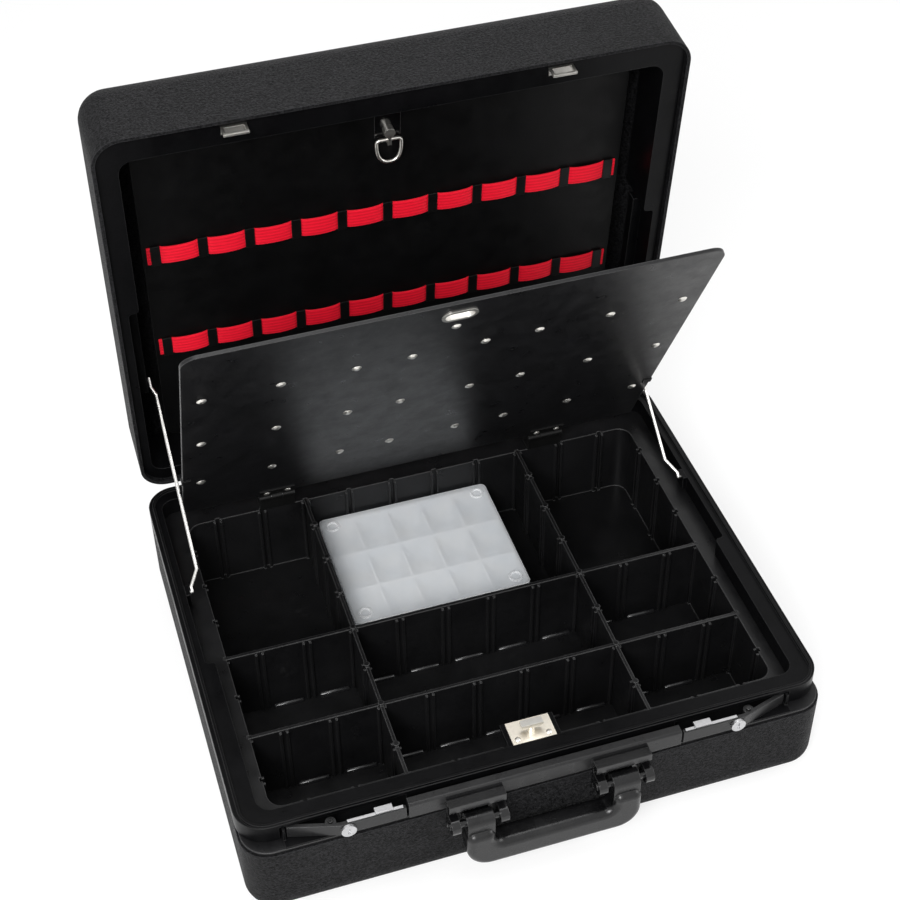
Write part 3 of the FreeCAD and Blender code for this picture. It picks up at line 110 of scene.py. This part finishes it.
# Studio: floor, sky and lamps with their place, target, size and power in watts
FLOOR_REACH = 9.0
FLOOR_COLOUR = (0.93, 0.93, 0.93)
FLOOR_GLOW = 0.66
FLOOR_SEEN = (0.36, 0.36, 0.36, 1.0)
WHITE = (1.0, 1.0, 1.0, 1.0)
SOFT_SKY = 0.25
WHITE_SKY = 1.0
LAMPS = (
    ("overhead", (-0.2, 0.3, 2.6), (0.0, 0.1, 0.1), (1.7, 1.2), 24.0),
    ("front_left", (-1.1, -1.8, 1.9), (0.0, 0.0, 0.2), (1.2, 1.2), 74.0),
    ("right_fill", (2.2, -0.6, 1.4), (0.0, 0.1, 0.2), (1.2, 1.6), 20.0),
    ("back_fill", (0.6, 2.4, 1.2), (0.0, 0.1, 0.2), (1.6, 1.2), 8.0),
)

# Camera fitted to the photo; focal length and picture centre are in its pixels
CAMERA_PLACE = Vector((-0.3150, -0.9779, 1.2097))
AZIMUTH = math.radians(-16.83)
ELEVATION = math.radians(42.10)
ROLL = math.radians(-1.09)
PHOTO_WIDTH = 900.0
FOCAL_PIXELS = 1773.7
CENTRE_X = 442.9
CENTRE_Y = 425.3
SENSOR = 36.0
CLIP_END = 50.0


def swing(x, y, z, axis_y, axis_z, angle):
    """A place drawn with the case closed, turned to the open pose."""
    dy = y - axis_y
    dz = z - axis_z
    return Vector((x, axis_y + dy * math.cos(angle) + dz * math.sin(angle),
                   axis_z - dy * math.sin(angle) + dz * math.cos(angle)))


def lid_point(x, distance, depth):
    return swing(x, LID_BACK_Y - distance, LID_LOW_Z + depth, HINGE_Y, HINGE_Z, LID_ANGLE)


def panel_point(x, distance, height):
    return swing(x, PANEL_Y - distance, height, PANEL_Y, PANEL_Z, PANEL_ANGLE)


def add_item(name, mesh):
    item = bpy.data.objects.new(name, mesh)
    scene.collection.objects.link(item)
    return item


# Material helpers

class Shader:
    """Builds a material node by node."""

    # Sockets of the Mix node in its colour mode
    MIX_FIRST = 6
    MIX_LAST = 7
    MIX_RESULT = 2

    # Cosine between true and rounded normal on a flat face and on a full edge
    FLAT = 0.999
    EDGE = 0.93

    def __init__(self, name):
        self.material = bpy.data.materials.new(name)
        self.material.use_nodes = True
        self.tree = self.material.node_tree
        self.surface = self.tree.nodes["Principled BSDF"]
        self.output = self.tree.nodes["Material Output"]
        self.place = self.add("ShaderNodeTexCoord")
        self.edge_normal = None

    def add(self, kind, **sockets):
        node = self.tree.nodes.new(kind)
        for key, value in sockets.items():
            node.inputs[key].default_value = value
        return node

    def link(self, start, end):
        self.tree.links.new(start, end)

    def noise(self, scale, detail=3.0, roughness=0.55):
        node = self.add("ShaderNodeTexNoise", Scale=scale, Detail=detail, Roughness=roughness)
        self.link(self.place.outputs["Object"], node.inputs["Vector"])
        return node.outputs["Fac"]

    def cells(self, scale, feature="F1"):
        node = self.add("ShaderNodeTexVoronoi", Scale=scale)
        node.feature = feature
        self.link(self.place.outputs["Object"], node.inputs["Vector"])
        return node.outputs["Distance"]

    def wave(self, scale, direction, distortion=0.0):
        """Bands over the ribbon's own length and width."""
        node = self.add("ShaderNodeTexWave", Scale=scale, Distortion=distortion)
        node.bands_direction = direction
        self.link(self.place.outputs["UV"], node.inputs["Vector"])
        return node.outputs["Fac"]

    def ramp(self, value, low, high, first=0.0, last=1.0):
        """Maps a value between two stops to a number range."""
        node = self.add("ShaderNodeMapRange")
        for key, number in (("From Min", low), ("From Max", high), ("To Min", first), ("To Max", last)):
            node.inputs[key].default_value = number
        self.link(value, node.inputs["Value"])
        return node.outputs["Result"]

    def mix(self, factor, first, last):
        node = self.add("ShaderNodeMix")
        node.data_type = "RGBA"
        self.link(factor, node.inputs["Factor"])
        for index, value in ((self.MIX_FIRST, first), (self.MIX_LAST, last)):
            if isinstance(value, tuple):
                node.inputs[index].default_value = (*value, 1.0)
            else:
                self.link(value, node.inputs[index])
        return node.outputs[self.MIX_RESULT]

    def sum(self, first, last, weight=1.0):
        node = self.add("ShaderNodeMath")
        node.operation = "MULTIPLY_ADD"
        self.link(last, node.inputs[0])
        node.inputs[1].default_value = weight
        self.link(first, node.inputs[2])
        return node.outputs[0]

    def bump(self, height, strength, distance):
        node = self.add("ShaderNodeBump", Strength=strength, Distance=distance)
        self.link(height, node.inputs["Height"])
        if self.edge_normal:
            self.link(self.edge_normal, node.inputs["Normal"])
        self.link(node.outputs["Normal"], self.surface.inputs["Normal"])

    def round_edges(self, radius):
        """A normal that rounds sharp edges by a small radius; bump() builds on it."""
        node = self.add("ShaderNodeBevel", Radius=radius)
        node.samples = 4
        self.edge_normal = node.outputs["Normal"]

    def edge_highlight(self, upper=False):
        """Mask for a painted highlight: near 1 along the rounded edges, 0 on flat faces; upper dims the
        painted highlight on edges that don't look up, so tops look lit from above.
        """
        geometry = self.add("ShaderNodeNewGeometry")
        node = self.add("ShaderNodeVectorMath")
        node.operation = "DOT_PRODUCT"
        self.link(self.edge_normal, node.inputs[0])
        self.link(geometry.outputs["Normal"], node.inputs[1])
        amount = self.ramp(node.outputs["Value"], self.FLAT, self.EDGE)
        if not upper:
            return amount
        parts = self.add("ShaderNodeSeparateXYZ")
        self.link(self.edge_normal, parts.inputs[0])
        product = self.add("ShaderNodeMath")
        product.operation = "MULTIPLY"
        self.link(amount, product.inputs[0])
        self.link(self.ramp(parts.outputs["Z"], 0.15, 0.6, first=0.15), product.inputs[1])
        return product.outputs[0]

    def set(self, name, value):
        socket = self.surface.inputs[name]
        if isinstance(value, (int, float)):
            socket.default_value = value
        elif isinstance(value, tuple):
            socket.default_value = (*value, 1.0)
        else:
            self.link(value, socket)


def neutral(grey, blue):
    """A grey with its own blue channel, to make it a little cool."""
    return (grey, grey, blue)


def scaled(colour, factor):
    return tuple(channel * factor for channel in colour)


def moulded(name, dark, light, rough, grain, depth, edge, highlight_and_scuff_lift, spread=0.08, shine=0.2, upper=False):
    """Moulded plastic with a fine skin, slow colour drift, faint scuffs and a painted highlight along its
    rounded edges.
    """
    m = Shader(name)
    m.round_edges(edge)
    drift = m.noise(22.0, detail=4.0, roughness=0.6)
    speck = m.noise(grain * 0.45, detail=2.0)
    tone = m.mix(m.ramp(m.sum(drift, speck, weight=0.6), 0.55, 1.05), dark, light)
    # A lighter colour shared by the random scuffs and the painted highlight on the edges.
    bright = tuple(channel + highlight_and_scuff_lift for channel in light)
    scuffs = m.ramp(m.noise(34.0, detail=9.0, roughness=0.72), 0.62, 0.75, last=0.15)
    # Rounded edges take the lighter colour as a painted highlight; with upper it is weaker on edges that
    # don't face up.
    m.set("Base Color", m.mix(m.edge_highlight(upper), m.mix(scuffs, tone, bright), bright))
    patches = m.noise(60.0, detail=5.0, roughness=0.65)
    m.set("Roughness", m.ramp(patches, 0.3, 0.7, rough - spread, rough + spread))
    m.set("Specular IOR Level", shine)
    height = m.sum(m.noise(grain), m.cells(grain * 0.6), weight=0.5)
    m.bump(height, strength=0.5, distance=depth)
    return m.material


def grained(name, dark, light, rough):
    """Coarse leather-like grain of the outer shells."""
    m = Shader(name)
    m.round_edges(0.0008)
    pits = m.ramp(m.cells(480.0), 0.0, 0.8)
    ridges = m.ramp(m.cells(720.0, "DISTANCE_TO_EDGE"), 0.0, 0.25)
    fine = m.noise(1500.0, detail=2.0)
    height = m.sum(m.sum(pits, ridges, weight=0.6), fine, weight=0.6)
    slow = m.noise(9.0, detail=4.0, roughness=0.6)
    speck = m.sum(m.noise(560.0, roughness=0.7), slow, weight=0.2)
    tone = m.mix(m.ramp(speck, 0.50, 0.76), dark, light)
    # Rounded edges of the shell get a much lighter colour: a painted highlight.
    m.set("Base Color", m.mix(m.edge_highlight(), tone, scaled(light, 1.8)))
    m.set("Roughness", m.ramp(m.sum(fine, slow, weight=0.6), 0.4, 1.2, rough - 0.08, rough + 0.1))
    m.set("Specular IOR Level", 0.08)
    m.bump(height, strength=0.9, distance=0.0005)
    return m.material


def metal(name, colour, rough, brushed):
    """Plated or drawn metal with faint brushing and cloudy patches."""
    m = Shader(name)
    m.round_edges(0.0004)
    stretch = m.add("ShaderNodeMapping", Scale=brushed)
    m.link(m.place.outputs["Object"], stretch.inputs["Vector"])
    lines = m.add("ShaderNodeTexNoise", Scale=700.0, Detail=3.0)
    m.link(stretch.outputs["Vector"], lines.inputs["Vector"])
    brushing = lines.outputs["Fac"]
    cloud = m.noise(120.0, detail=4.0, roughness=0.6)
    m.set("Base Color", m.mix(m.ramp(cloud, 0.35, 0.7), colour, scaled(colour, 0.8)))
    m.set("Metallic", 1.0)
    m.set("Roughness", m.ramp(m.sum(brushing, cloud, weight=0.7), 0.5, 1.2, rough * 0.7, rough * 1.4))
    m.bump(brushing, strength=0.12, distance=0.00003)
    return m.material


def woven(name, colour, shade, rib_scale, pick_scale, rough):
    """Knitted elastic: ribs along the ribbon crossed by fine picks, with a soft sheen."""
    m = Shader(name)
    ribs = m.wave(rib_scale, "Y")
    picks = m.wave(pick_scale, "X", distortion=0.8)
    fuzz = m.noise(2600.0)
    height = m.sum(m.sum(ribs, picks, weight=0.7), fuzz, weight=0.5)
    drift = m.noise(140.0, detail=4.0, roughness=0.6)
    m.set("Base Color", m.mix(m.ramp(m.sum(height, drift, weight=0.8), 0.4, 1.7), shade, colour))
    m.set("Roughness", rough)
    m.set("Sheen Weight", 0.05)
    m.set("Sheen Roughness", 0.4)
    m.set("Specular IOR Level", 0.25)
    m.bump(height, strength=0.5, distance=0.0002)
    return m.material


def frosted(name, dim, bright, rough, cover):
    """Milky plastic: a see-through share lets light in, the rest is scattered back."""
    m = Shader(name)
    m.round_edges(0.0012)
    cloud = m.noise(45.0, detail=4.0, roughness=0.6)
    fine = m.noise(1500.0, detail=2.0)
    tone = m.mix(m.ramp(cloud, 0.35, 0.65), dim, bright)
    # Rounded edges turn near white and more opaque; the whiter colour is a painted highlight.
    edge = m.edge_highlight()
    m.set("Base Color", m.mix(edge, tone, (0.98, 0.99, 1.0)))
    m.set("Roughness", m.ramp(fine, 0.3, 0.7, rough * 0.8, rough * 1.2))
    m.set("Alpha", m.ramp(edge, 0.0, 1.0, cover, min(1.0, cover + 0.6)))
    m.set("IOR", 1.45)
    m.set("Specular IOR Level", 0.5)
    m.bump(fine, strength=0.15, distance=0.00005)
    return m.material


# Materials

BLACK_SHELL = grained("grained_shell", dark=neutral(0.0008, 0.001), light=neutral(0.021, 0.0225), rough=0.5)
BLACK_FRAME = moulded("satin_frame", dark=neutral(0.0015, 0.0017), light=neutral(0.0035, 0.004),
                      rough=0.34, grain=900.0, depth=0.00008, edge=0.0009, highlight_and_scuff_lift=0.025, shine=0.08)
BLACK_TRAY = moulded("tray_sheet", dark=neutral(0.003, 0.0033), light=neutral(0.008, 0.0086),
                     rough=0.34, grain=1100.0, depth=0.0001, edge=0.0014, highlight_and_scuff_lift=0.055, shine=0.3, upper=True)
# The beads are the tray's plastic in a lighter, glossier copy; the lighter colour is a painted highlight.
TRAY_BEAD_HIGHLIGHT = moulded("tray_bead_highlight", dark=neutral(0.008, 0.0085), light=neutral(0.016, 0.017),
                    rough=0.2, grain=1100.0, depth=0.00004, edge=0.0005, highlight_and_scuff_lift=0.03, spread=0.05, shine=0.5)
BLACK_BOARD = moulded("lining_board", dark=neutral(0.0012, 0.0013), light=neutral(0.003, 0.0032),
                      rough=0.46, grain=1400.0, depth=0.0001, edge=0.0008, highlight_and_scuff_lift=0.02, shine=0.14)
BLACK_PANEL = moulded("tool_panel_sheet", dark=neutral(0.003, 0.0033), light=neutral(0.006, 0.0068),
                      rough=0.34, grain=1300.0, depth=0.00012, edge=0.001, highlight_and_scuff_lift=0.05, shine=0.35)
# The band and rockers get a lighter base colour than the other black mouldings: painted reflection of the
# bright floor and sky.
BAND_WITH_PAINTED_REFLECTION = moulded("lock_band", dark=neutral(0.009, 0.0095), light=neutral(0.016, 0.0165),
                    rough=0.3, grain=1000.0, depth=0.00008, edge=0.0009, highlight_and_scuff_lift=0.03, shine=0.3)
BLACK_HANDLE = moulded("handle_moulding", dark=neutral(0.0025, 0.0028), light=neutral(0.006, 0.0064),
                       rough=0.26, grain=800.0, depth=0.00014, edge=0.001, highlight_and_scuff_lift=0.02, shine=0.4)
BLACK_FITTING = moulded("gloss_fitting", dark=neutral(0.002, 0.0022), light=neutral(0.005, 0.0055),
                        rough=0.18, grain=900.0, depth=0.00006, edge=0.0008, highlight_and_scuff_lift=0.03, spread=0.05,
                        shine=0.5)
BLACK_TRIM = moulded("small_trim", dark=neutral(0.002, 0.002), light=neutral(0.004, 0.004),
                     rough=0.42, grain=1200.0, depth=0.0001, edge=0.0005, highlight_and_scuff_lift=0.02)
NICKEL = metal("nickel_plate", (0.80, 0.78, 0.73), rough=0.34, brushed=(1.0, 6.0, 1.0))
CATCH_PLATE = metal("warm_nickel", (0.93, 0.87, 0.76), rough=0.42, brushed=(6.0, 1.0, 1.0))
STEEL = metal("zinc_steel", (0.56, 0.56, 0.57), rough=0.32, brushed=(6.0, 1.0, 1.0))
WIRE = metal("drawn_wire", (0.62, 0.61, 0.59), rough=0.28, brushed=(1.0, 1.0, 1.0))
RED_ELASTIC = woven("red_elastic", (0.95, 0.006, 0.030), shade=(0.55, 0.002, 0.010),
                    rib_scale=95.0, pick_scale=520.0, rough=0.62)
BLACK_ELASTIC = woven("black_elastic", (0.020, 0.020, 0.021), shade=(0.006, 0.006, 0.006),
                      rib_scale=330.0, pick_scale=520.0, rough=0.7)
FROSTED_TUB = frosted("frosted_tub", dim=(0.88, 0.92, 0.96), bright=(0.95, 0.97, 0.99), rough=0.40,
                      cover=0.92)
FROSTED_COVER = frosted("frosted_cover", dim=(0.92, 0.95, 0.985), bright=(0.96, 0.975, 0.99), rough=0.22,
                        cover=0.36)

FINISH = {
    BLACK_SHELL: ("base_shell", "lid_shell"),
    BLACK_FRAME: ("base_frame", "lid_frame", "stay_blocks", "stay_keepers", "latch_housing_left",
                  "latch_housing_right"),
    BLACK_TRAY: ("base_tray", "divider_long_front", "divider_long_rear", "divider_cross_left",
                 "divider_cross_right"),
    BLACK_BOARD: ("lid_board",),
    BLACK_PANEL: ("tool_panel",),
    BAND_WITH_PAINTED_REFLECTION: ("front_band", "rocker_left", "rocker_right"),
    BLACK_HANDLE: ("handle",),
    BLACK_FITTING: ("handle_bracket_left", "handle_bracket_right", "handle_rods", "lid_lock_plate",
                    "latch_pins"),
    BLACK_TRIM: ("strap_bars", "panel_clips", "panel_hinge_brackets", "panel_hinge_leaves"),
    CATCH_PLATE: ("catch_plate",),
    NICKEL: ("catch_screws", "catch_button", "lid_lock_stud", "striker_left", "striker_right",
             "panel_rivets", "panel_grommet", "panel_hinge_rivets"),
    STEEL: ("hinge_leaves_base", "hinge_leaves_lid", "hinge_pins", "hinge_rivets_base",
            "hinge_rivets_lid", "latch_hook_left", "latch_hook_right", "lock_barrel_left",
            "lock_barrel_right", "panel_hinge_pins"),
    WIRE: ("stay_left", "stay_right"),
    FROSTED_TUB: ("box_tub",),
    FROSTED_COVER: ("box_cover",),
}
for material, names in FINISH.items():
    for name in names:
        mesh = nodes[name].data
        mesh.materials.clear()
        mesh.materials.append(material)


# Elastic ribbons, made as woven strips that lie flat under each bar and arch between them

def ribbon_stations(holds, hold, stub):
    """Places along a ribbon: x, share of the full arch, and the number of the loop."""
    stations = []
    for index, spot in enumerate(holds):
        first = spot - hold / 2 - (stub if index == 0 else 0.0)
        last = spot + hold / 2 + (stub if index + 1 == len(holds) else 0.0)
        for share in HELD_SHARES:
            stations.append((first + (last - first) * share, 0.0, index))
        if index + 1 < len(holds):
            start = spot + hold / 2
            gap = holds[index + 1] - hold / 2 - start
            for step in range(1, ARCH_STEPS):
                share = step / ARCH_STEPS
                arch = math.sin(math.pi * share) ** ARCH_FULLNESS
                stations.append((start + gap * share, arch, index))
    return stations


def ribbon(name, holds, hold, stub, height, rise, thickness, place, seed):
    """A strip through the held places; place(x, across, lift) gives the point in the open pose."""
    mesh = bpy.data.meshes.new(name)
    shape = bmesh.new()
    layer = shape.loops.layers.uv.new("UVMap")
    grid = []
    for x, arch, index in ribbon_stations(holds, hold, stub):
        slack = 1.0 - SLACK_SWING + SLACK_SWING * math.sin(index * SLACK_STEP + seed)
        pinch = 1.0 - PINCH_SWING * arch * math.sin(index * PINCH_STEP + seed + PINCH_START) ** 2
        row = []
        for step in range(STEPS_ACROSS + 1):
            across = step / STEPS_ACROSS - 0.5
            lift = rise * arch * slack * (1.0 - LOWER_EDGE_DROP * max(0.0, -across) * arch)
            row.append(shape.verts.new(place(x, across * height * pinch, lift)))
        grid.append(row)
    lengths = [0.0]
    for before, after in zip(grid, grid[1:]):
        lengths.append(lengths[-1] + (after[0].co - before[0].co).length)
    for i in range(len(grid) - 1):
        for j in range(STEPS_ACROSS):
            spots = ((i, j), (i + 1, j), (i + 1, j + 1), (i, j + 1))
            face = shape.faces.new([grid[a][b] for a, b in spots])
            face.smooth = True
            for loop, (a, b) in zip(face.loops, spots):
                loop[layer].uv = (lengths[a], b / STEPS_ACROSS * height)
    shape.to_mesh(mesh)
    shape.free()
    item = add_item(name, mesh)
    solid = item.modifiers.new("thickness", "SOLIDIFY")
    solid.thickness = thickness
    solid.offset = 1.0
    soft = item.modifiers.new("soft_edge", "BEVEL")
    soft.width = thickness * SOFT_EDGE_SHARE
    soft.segments = SOFT_EDGE_STEPS
    return item


def strap(name, distance, seed):
    first = -STRAP_LOOPS / 2 * STRAP_PITCH
    holds = [first + STRAP_PITCH * index for index in range(STRAP_LOOPS + 1)]

    def place(x, across, lift):
        return lid_point(x, distance - across, BOARD_LEVEL - STRAP_THICKNESS - lift)

    item = ribbon(name + "_woven", holds, STRAP_BAR, STRAP_STUB, STRAP_HEIGHT, STRAP_RISE,
                  STRAP_THICKNESS * WOVEN_SHARE, place, seed)
    item.data.materials.append(RED_ELASTIC)
    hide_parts(name)
    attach(item, "lid")


for name, distance, seed in zip(("strap_upper", "strap_lower"), STRAP_PLACES, STRAP_SEEDS):
    strap(name, distance, seed)


def panel_loop(index, distance):
    def place(x, across, lift):
        return panel_point(x, distance + across, PANEL_TOP + LOOP_THICKNESS + lift)

    item = ribbon("panel_loop_%d" % index, LOOP_COLUMNS, LOOP_HOLD, 0.0, LOOP_HEIGHT, LOOP_RISE,
                  LOOP_THICKNESS * WOVEN_SHARE, place, index)
    item.data.materials.append(BLACK_ELASTIC)
    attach(item, "panel")
    return item


loops = [panel_loop(index, distance) for index, distance in enumerate(LOOP_ROWS)]
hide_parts("panel_loops")


# Rounded beads at the foot of the long dividers, one in each bay between two ribs

def bead(shape, start, length, face_y, floor_z):
    """A quarter-round bead along x, in the corner of a divider's face and the tray floor."""
    rows = []
    for share, swell in BEAD_SWELL:
        x = start + length * share
        radius = BEAD * swell
        row = []
        for step in range(BEAD_STEPS + 1):
            angle = math.pi / 2 * step / BEAD_STEPS
            row.append(shape.verts.new((x, face_y - radius * math.cos(angle),
                                        floor_z + radius * math.sin(angle))))
        row.append(shape.verts.new((x, face_y, floor_z)))
        rows.append(row)
    for before, after in zip(rows, rows[1:]):
        for step in range(len(before)):
            other = (step + 1) % len(before)
            face = shape.faces.new((before[step], before[other], after[other], after[step]))
            face.smooth = step < BEAD_STEPS
    shape.faces.new(rows[0])
    shape.faces.new(rows[-1])


def foot_beads():
    floor_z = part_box("divider_long_front")[0][2]
    first = -BAY_PITCH * (SLOTS - 1) / 2
    shape = bmesh.new()
    for name in ("divider_long_front", "divider_long_rear"):
        low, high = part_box(name)
        face_y = (low[1] + high[1]) / 2 - DIVIDER_HALF
        for bay in range(SLOTS - 1):
            start = first + BAY_PITCH * bay + BAY_MARGIN
            bead(shape, start, BAY_PITCH - 2 * BAY_MARGIN, face_y, floor_z)
    bmesh.ops.recalc_face_normals(shape, faces=shape.faces)
    mesh = bpy.data.meshes.new("tray_foot_beads")
    shape.to_mesh(mesh)
    shape.free()
    mesh.materials.append(TRAY_BEAD_HIGHLIGHT)
    item = add_item("tray_foot_beads", mesh)
    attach(item, "base")


foot_beads()


# Ring of the turn lock: a wire bent to a flat bar on top and a round bow below

def ring_course(reach):
    """The wire's centre line in x and z, from the right end of the top bar round to its left end."""
    corner = reach * RING_CORNER
    straight = reach - corner

    def corner_point(side, angle):
        return (side * straight + corner * math.cos(angle), straight + corner * math.sin(angle))

    course = [corner_point(1, math.pi / 2 * (1 - step / CORNER_STEPS)) for step in range(CORNER_STEPS + 1)]
    for step in range(1, BOW_STEPS):
        angle = math.pi * step / BOW_STEPS
        wide = math.copysign(abs(math.cos(angle)) ** RING_FULLNESS, math.cos(angle))
        drop = (2 * reach - corner) * math.sin(angle) ** RING_FULLNESS
        course.append((reach * wide, straight - drop))
    for step in range(CORNER_STEPS + 1):
        course.append(corner_point(-1, math.pi / 2 * (2 - step / CORNER_STEPS)))
    return course


def bent_ring():
    low, high = (Vector(corner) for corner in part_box("lock_ring"))
    middle = (low + high) / 2
    wire = (high.y - low.y) / 2
    course = ring_course((high.x - low.x) / 2 - wire)
    shape = bmesh.new()
    rings = []
    for index, (x, z) in enumerate(course):
        before = course[index - 1]
        after = course[(index + 1) % len(course)]
        along = Vector((after[0] - before[0], 0.0, after[1] - before[1])).normalized()
        outward = Vector((along.z, 0.0, -along.x))
        centre = middle + Vector((x, 0.0, z))
        ring = []
        for side in range(WIRE_SIDES):
            angle = 2 * math.pi * side / WIRE_SIDES
            sideways = Vector((0.0, wire * math.sin(angle), 0.0))
            ring.append(shape.verts.new(centre + outward * wire * math.cos(angle) + sideways))
        rings.append(ring)
    for index, ring in enumerate(rings):
        following = rings[(index + 1) % len(rings)]
        for side in range(WIRE_SIDES):
            other = (side + 1) % WIRE_SIDES
            face = shape.faces.new((ring[side], ring[other], following[other], following[side]))
            face.smooth = True
    bmesh.ops.recalc_face_normals(shape, faces=shape.faces)
    mesh = bpy.data.meshes.new("lock_ring_wire")
    shape.to_mesh(mesh)
    shape.free()
    mesh.materials.append(NICKEL)
    item = add_item("lock_ring_wire", mesh)
    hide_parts("lock_ring")
    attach(item, "ring")


bent_ring()


# Floor: plain pale paper, which the camera sees white apart from the object's shadow

def floor():
    mesh = bpy.data.meshes.new("studio_floor")
    corners = [(-FLOOR_REACH, -FLOOR_REACH, 0), (FLOOR_REACH, -FLOOR_REACH, 0),
               (FLOOR_REACH, FLOOR_REACH, 0), (-FLOOR_REACH, FLOOR_REACH, 0)]
    mesh.from_pydata(corners, [], [(0, 1, 2, 3)])
    item = add_item("studio_floor", mesh)
    m = Shader("studio_paper")
    m.set("Base Color", FLOOR_COLOUR)
    m.set("Roughness", 0.9)
    m.set("Specular IOR Level", 0.1)
    glow = m.add("ShaderNodeEmission", Strength=FLOOR_GLOW)
    paper = m.add("ShaderNodeBsdfDiffuse", Color=FLOOR_SEEN)
    bright = m.add("ShaderNodeAddShader")
    m.link(glow.outputs[0], bright.inputs[0])
    m.link(paper.outputs[0], bright.inputs[1])
    pick = m.add("ShaderNodeMixShader")
    m.link(m.add("ShaderNodeLightPath").outputs["Is Camera Ray"], pick.inputs["Fac"])
    m.link(m.surface.outputs[0], pick.inputs[1])
    m.link(bright.outputs[0], pick.inputs[2])
    m.link(pick.outputs[0], m.output.inputs["Surface"])
    mesh.materials.append(m.material)


floor()


# World: a soft sky that looks white to the camera and in reflections

def sky():
    world = bpy.data.worlds.new("studio")
    scene.world = world
    world.use_nodes = True
    tree = world.node_tree
    tree.nodes.clear()
    path = tree.nodes.new("ShaderNodeLightPath")
    seen = path.outputs["Is Camera Ray"]
    for kind in ("Is Glossy Ray", "Is Transmission Ray"):
        either = tree.nodes.new("ShaderNodeMath")
        either.operation = "MAXIMUM"
        tree.links.new(seen, either.inputs[0])
        tree.links.new(path.outputs[kind], either.inputs[1])
        seen = either.outputs[0]
    blend = tree.nodes.new("ShaderNodeMixShader")
    tree.links.new(seen, blend.inputs["Fac"])
    for socket, strength in ((blend.inputs[1], SOFT_SKY), (blend.inputs[2], WHITE_SKY)):
        background = tree.nodes.new("ShaderNodeBackground")
        background.inputs["Color"].default_value = WHITE
        background.inputs["Strength"].default_value = strength
        tree.links.new(background.outputs["Background"], socket)
    final = tree.nodes.new("ShaderNodeOutputWorld")
    tree.links.new(blend.outputs["Shader"], final.inputs["Surface"])


sky()


# Lamps and camera

def softbox(name, place, target, size, power):
    light = bpy.data.lights.new(name, "AREA")
    light.shape = "RECTANGLE"
    light.size, light.size_y = size
    light.energy = power
    item = add_item(name, light)
    item.location = place
    item.rotation_euler = (Vector(target) - Vector(place)).to_track_quat("-Z", "Y").to_euler()


for lamp in LAMPS:
    softbox(*lamp)


def photo_camera():
    back = Vector((math.sin(AZIMUTH) * math.cos(ELEVATION), -math.cos(AZIMUTH) * math.cos(ELEVATION),
                   math.sin(ELEVATION)))
    right = Vector((math.cos(AZIMUTH), math.sin(AZIMUTH), 0.0))
    up = back.cross(right)
    across = right * math.cos(ROLL) + up * math.sin(ROLL)
    above = -right * math.sin(ROLL) + up * math.cos(ROLL)
    camera_data = bpy.data.cameras.new("photo_camera")
    camera_data.sensor_width = SENSOR
    camera_data.sensor_fit = "HORIZONTAL"
    camera_data.lens = SENSOR * FOCAL_PIXELS / PHOTO_WIDTH
    camera_data.shift_x = (PHOTO_WIDTH / 2 - CENTRE_X) / PHOTO_WIDTH
    camera_data.shift_y = (CENTRE_Y - PHOTO_WIDTH / 2) / PHOTO_WIDTH
    camera_data.clip_end = CLIP_END
    camera = add_item("photo_camera", camera_data)
    turn = Matrix((across, above, back)).transposed().to_4x4()
    camera.matrix_world = Matrix.Translation(CAMERA_PLACE) @ turn
    return camera


scene.camera = photo_camera()
scene.view_settings.view_transform = "Standard"
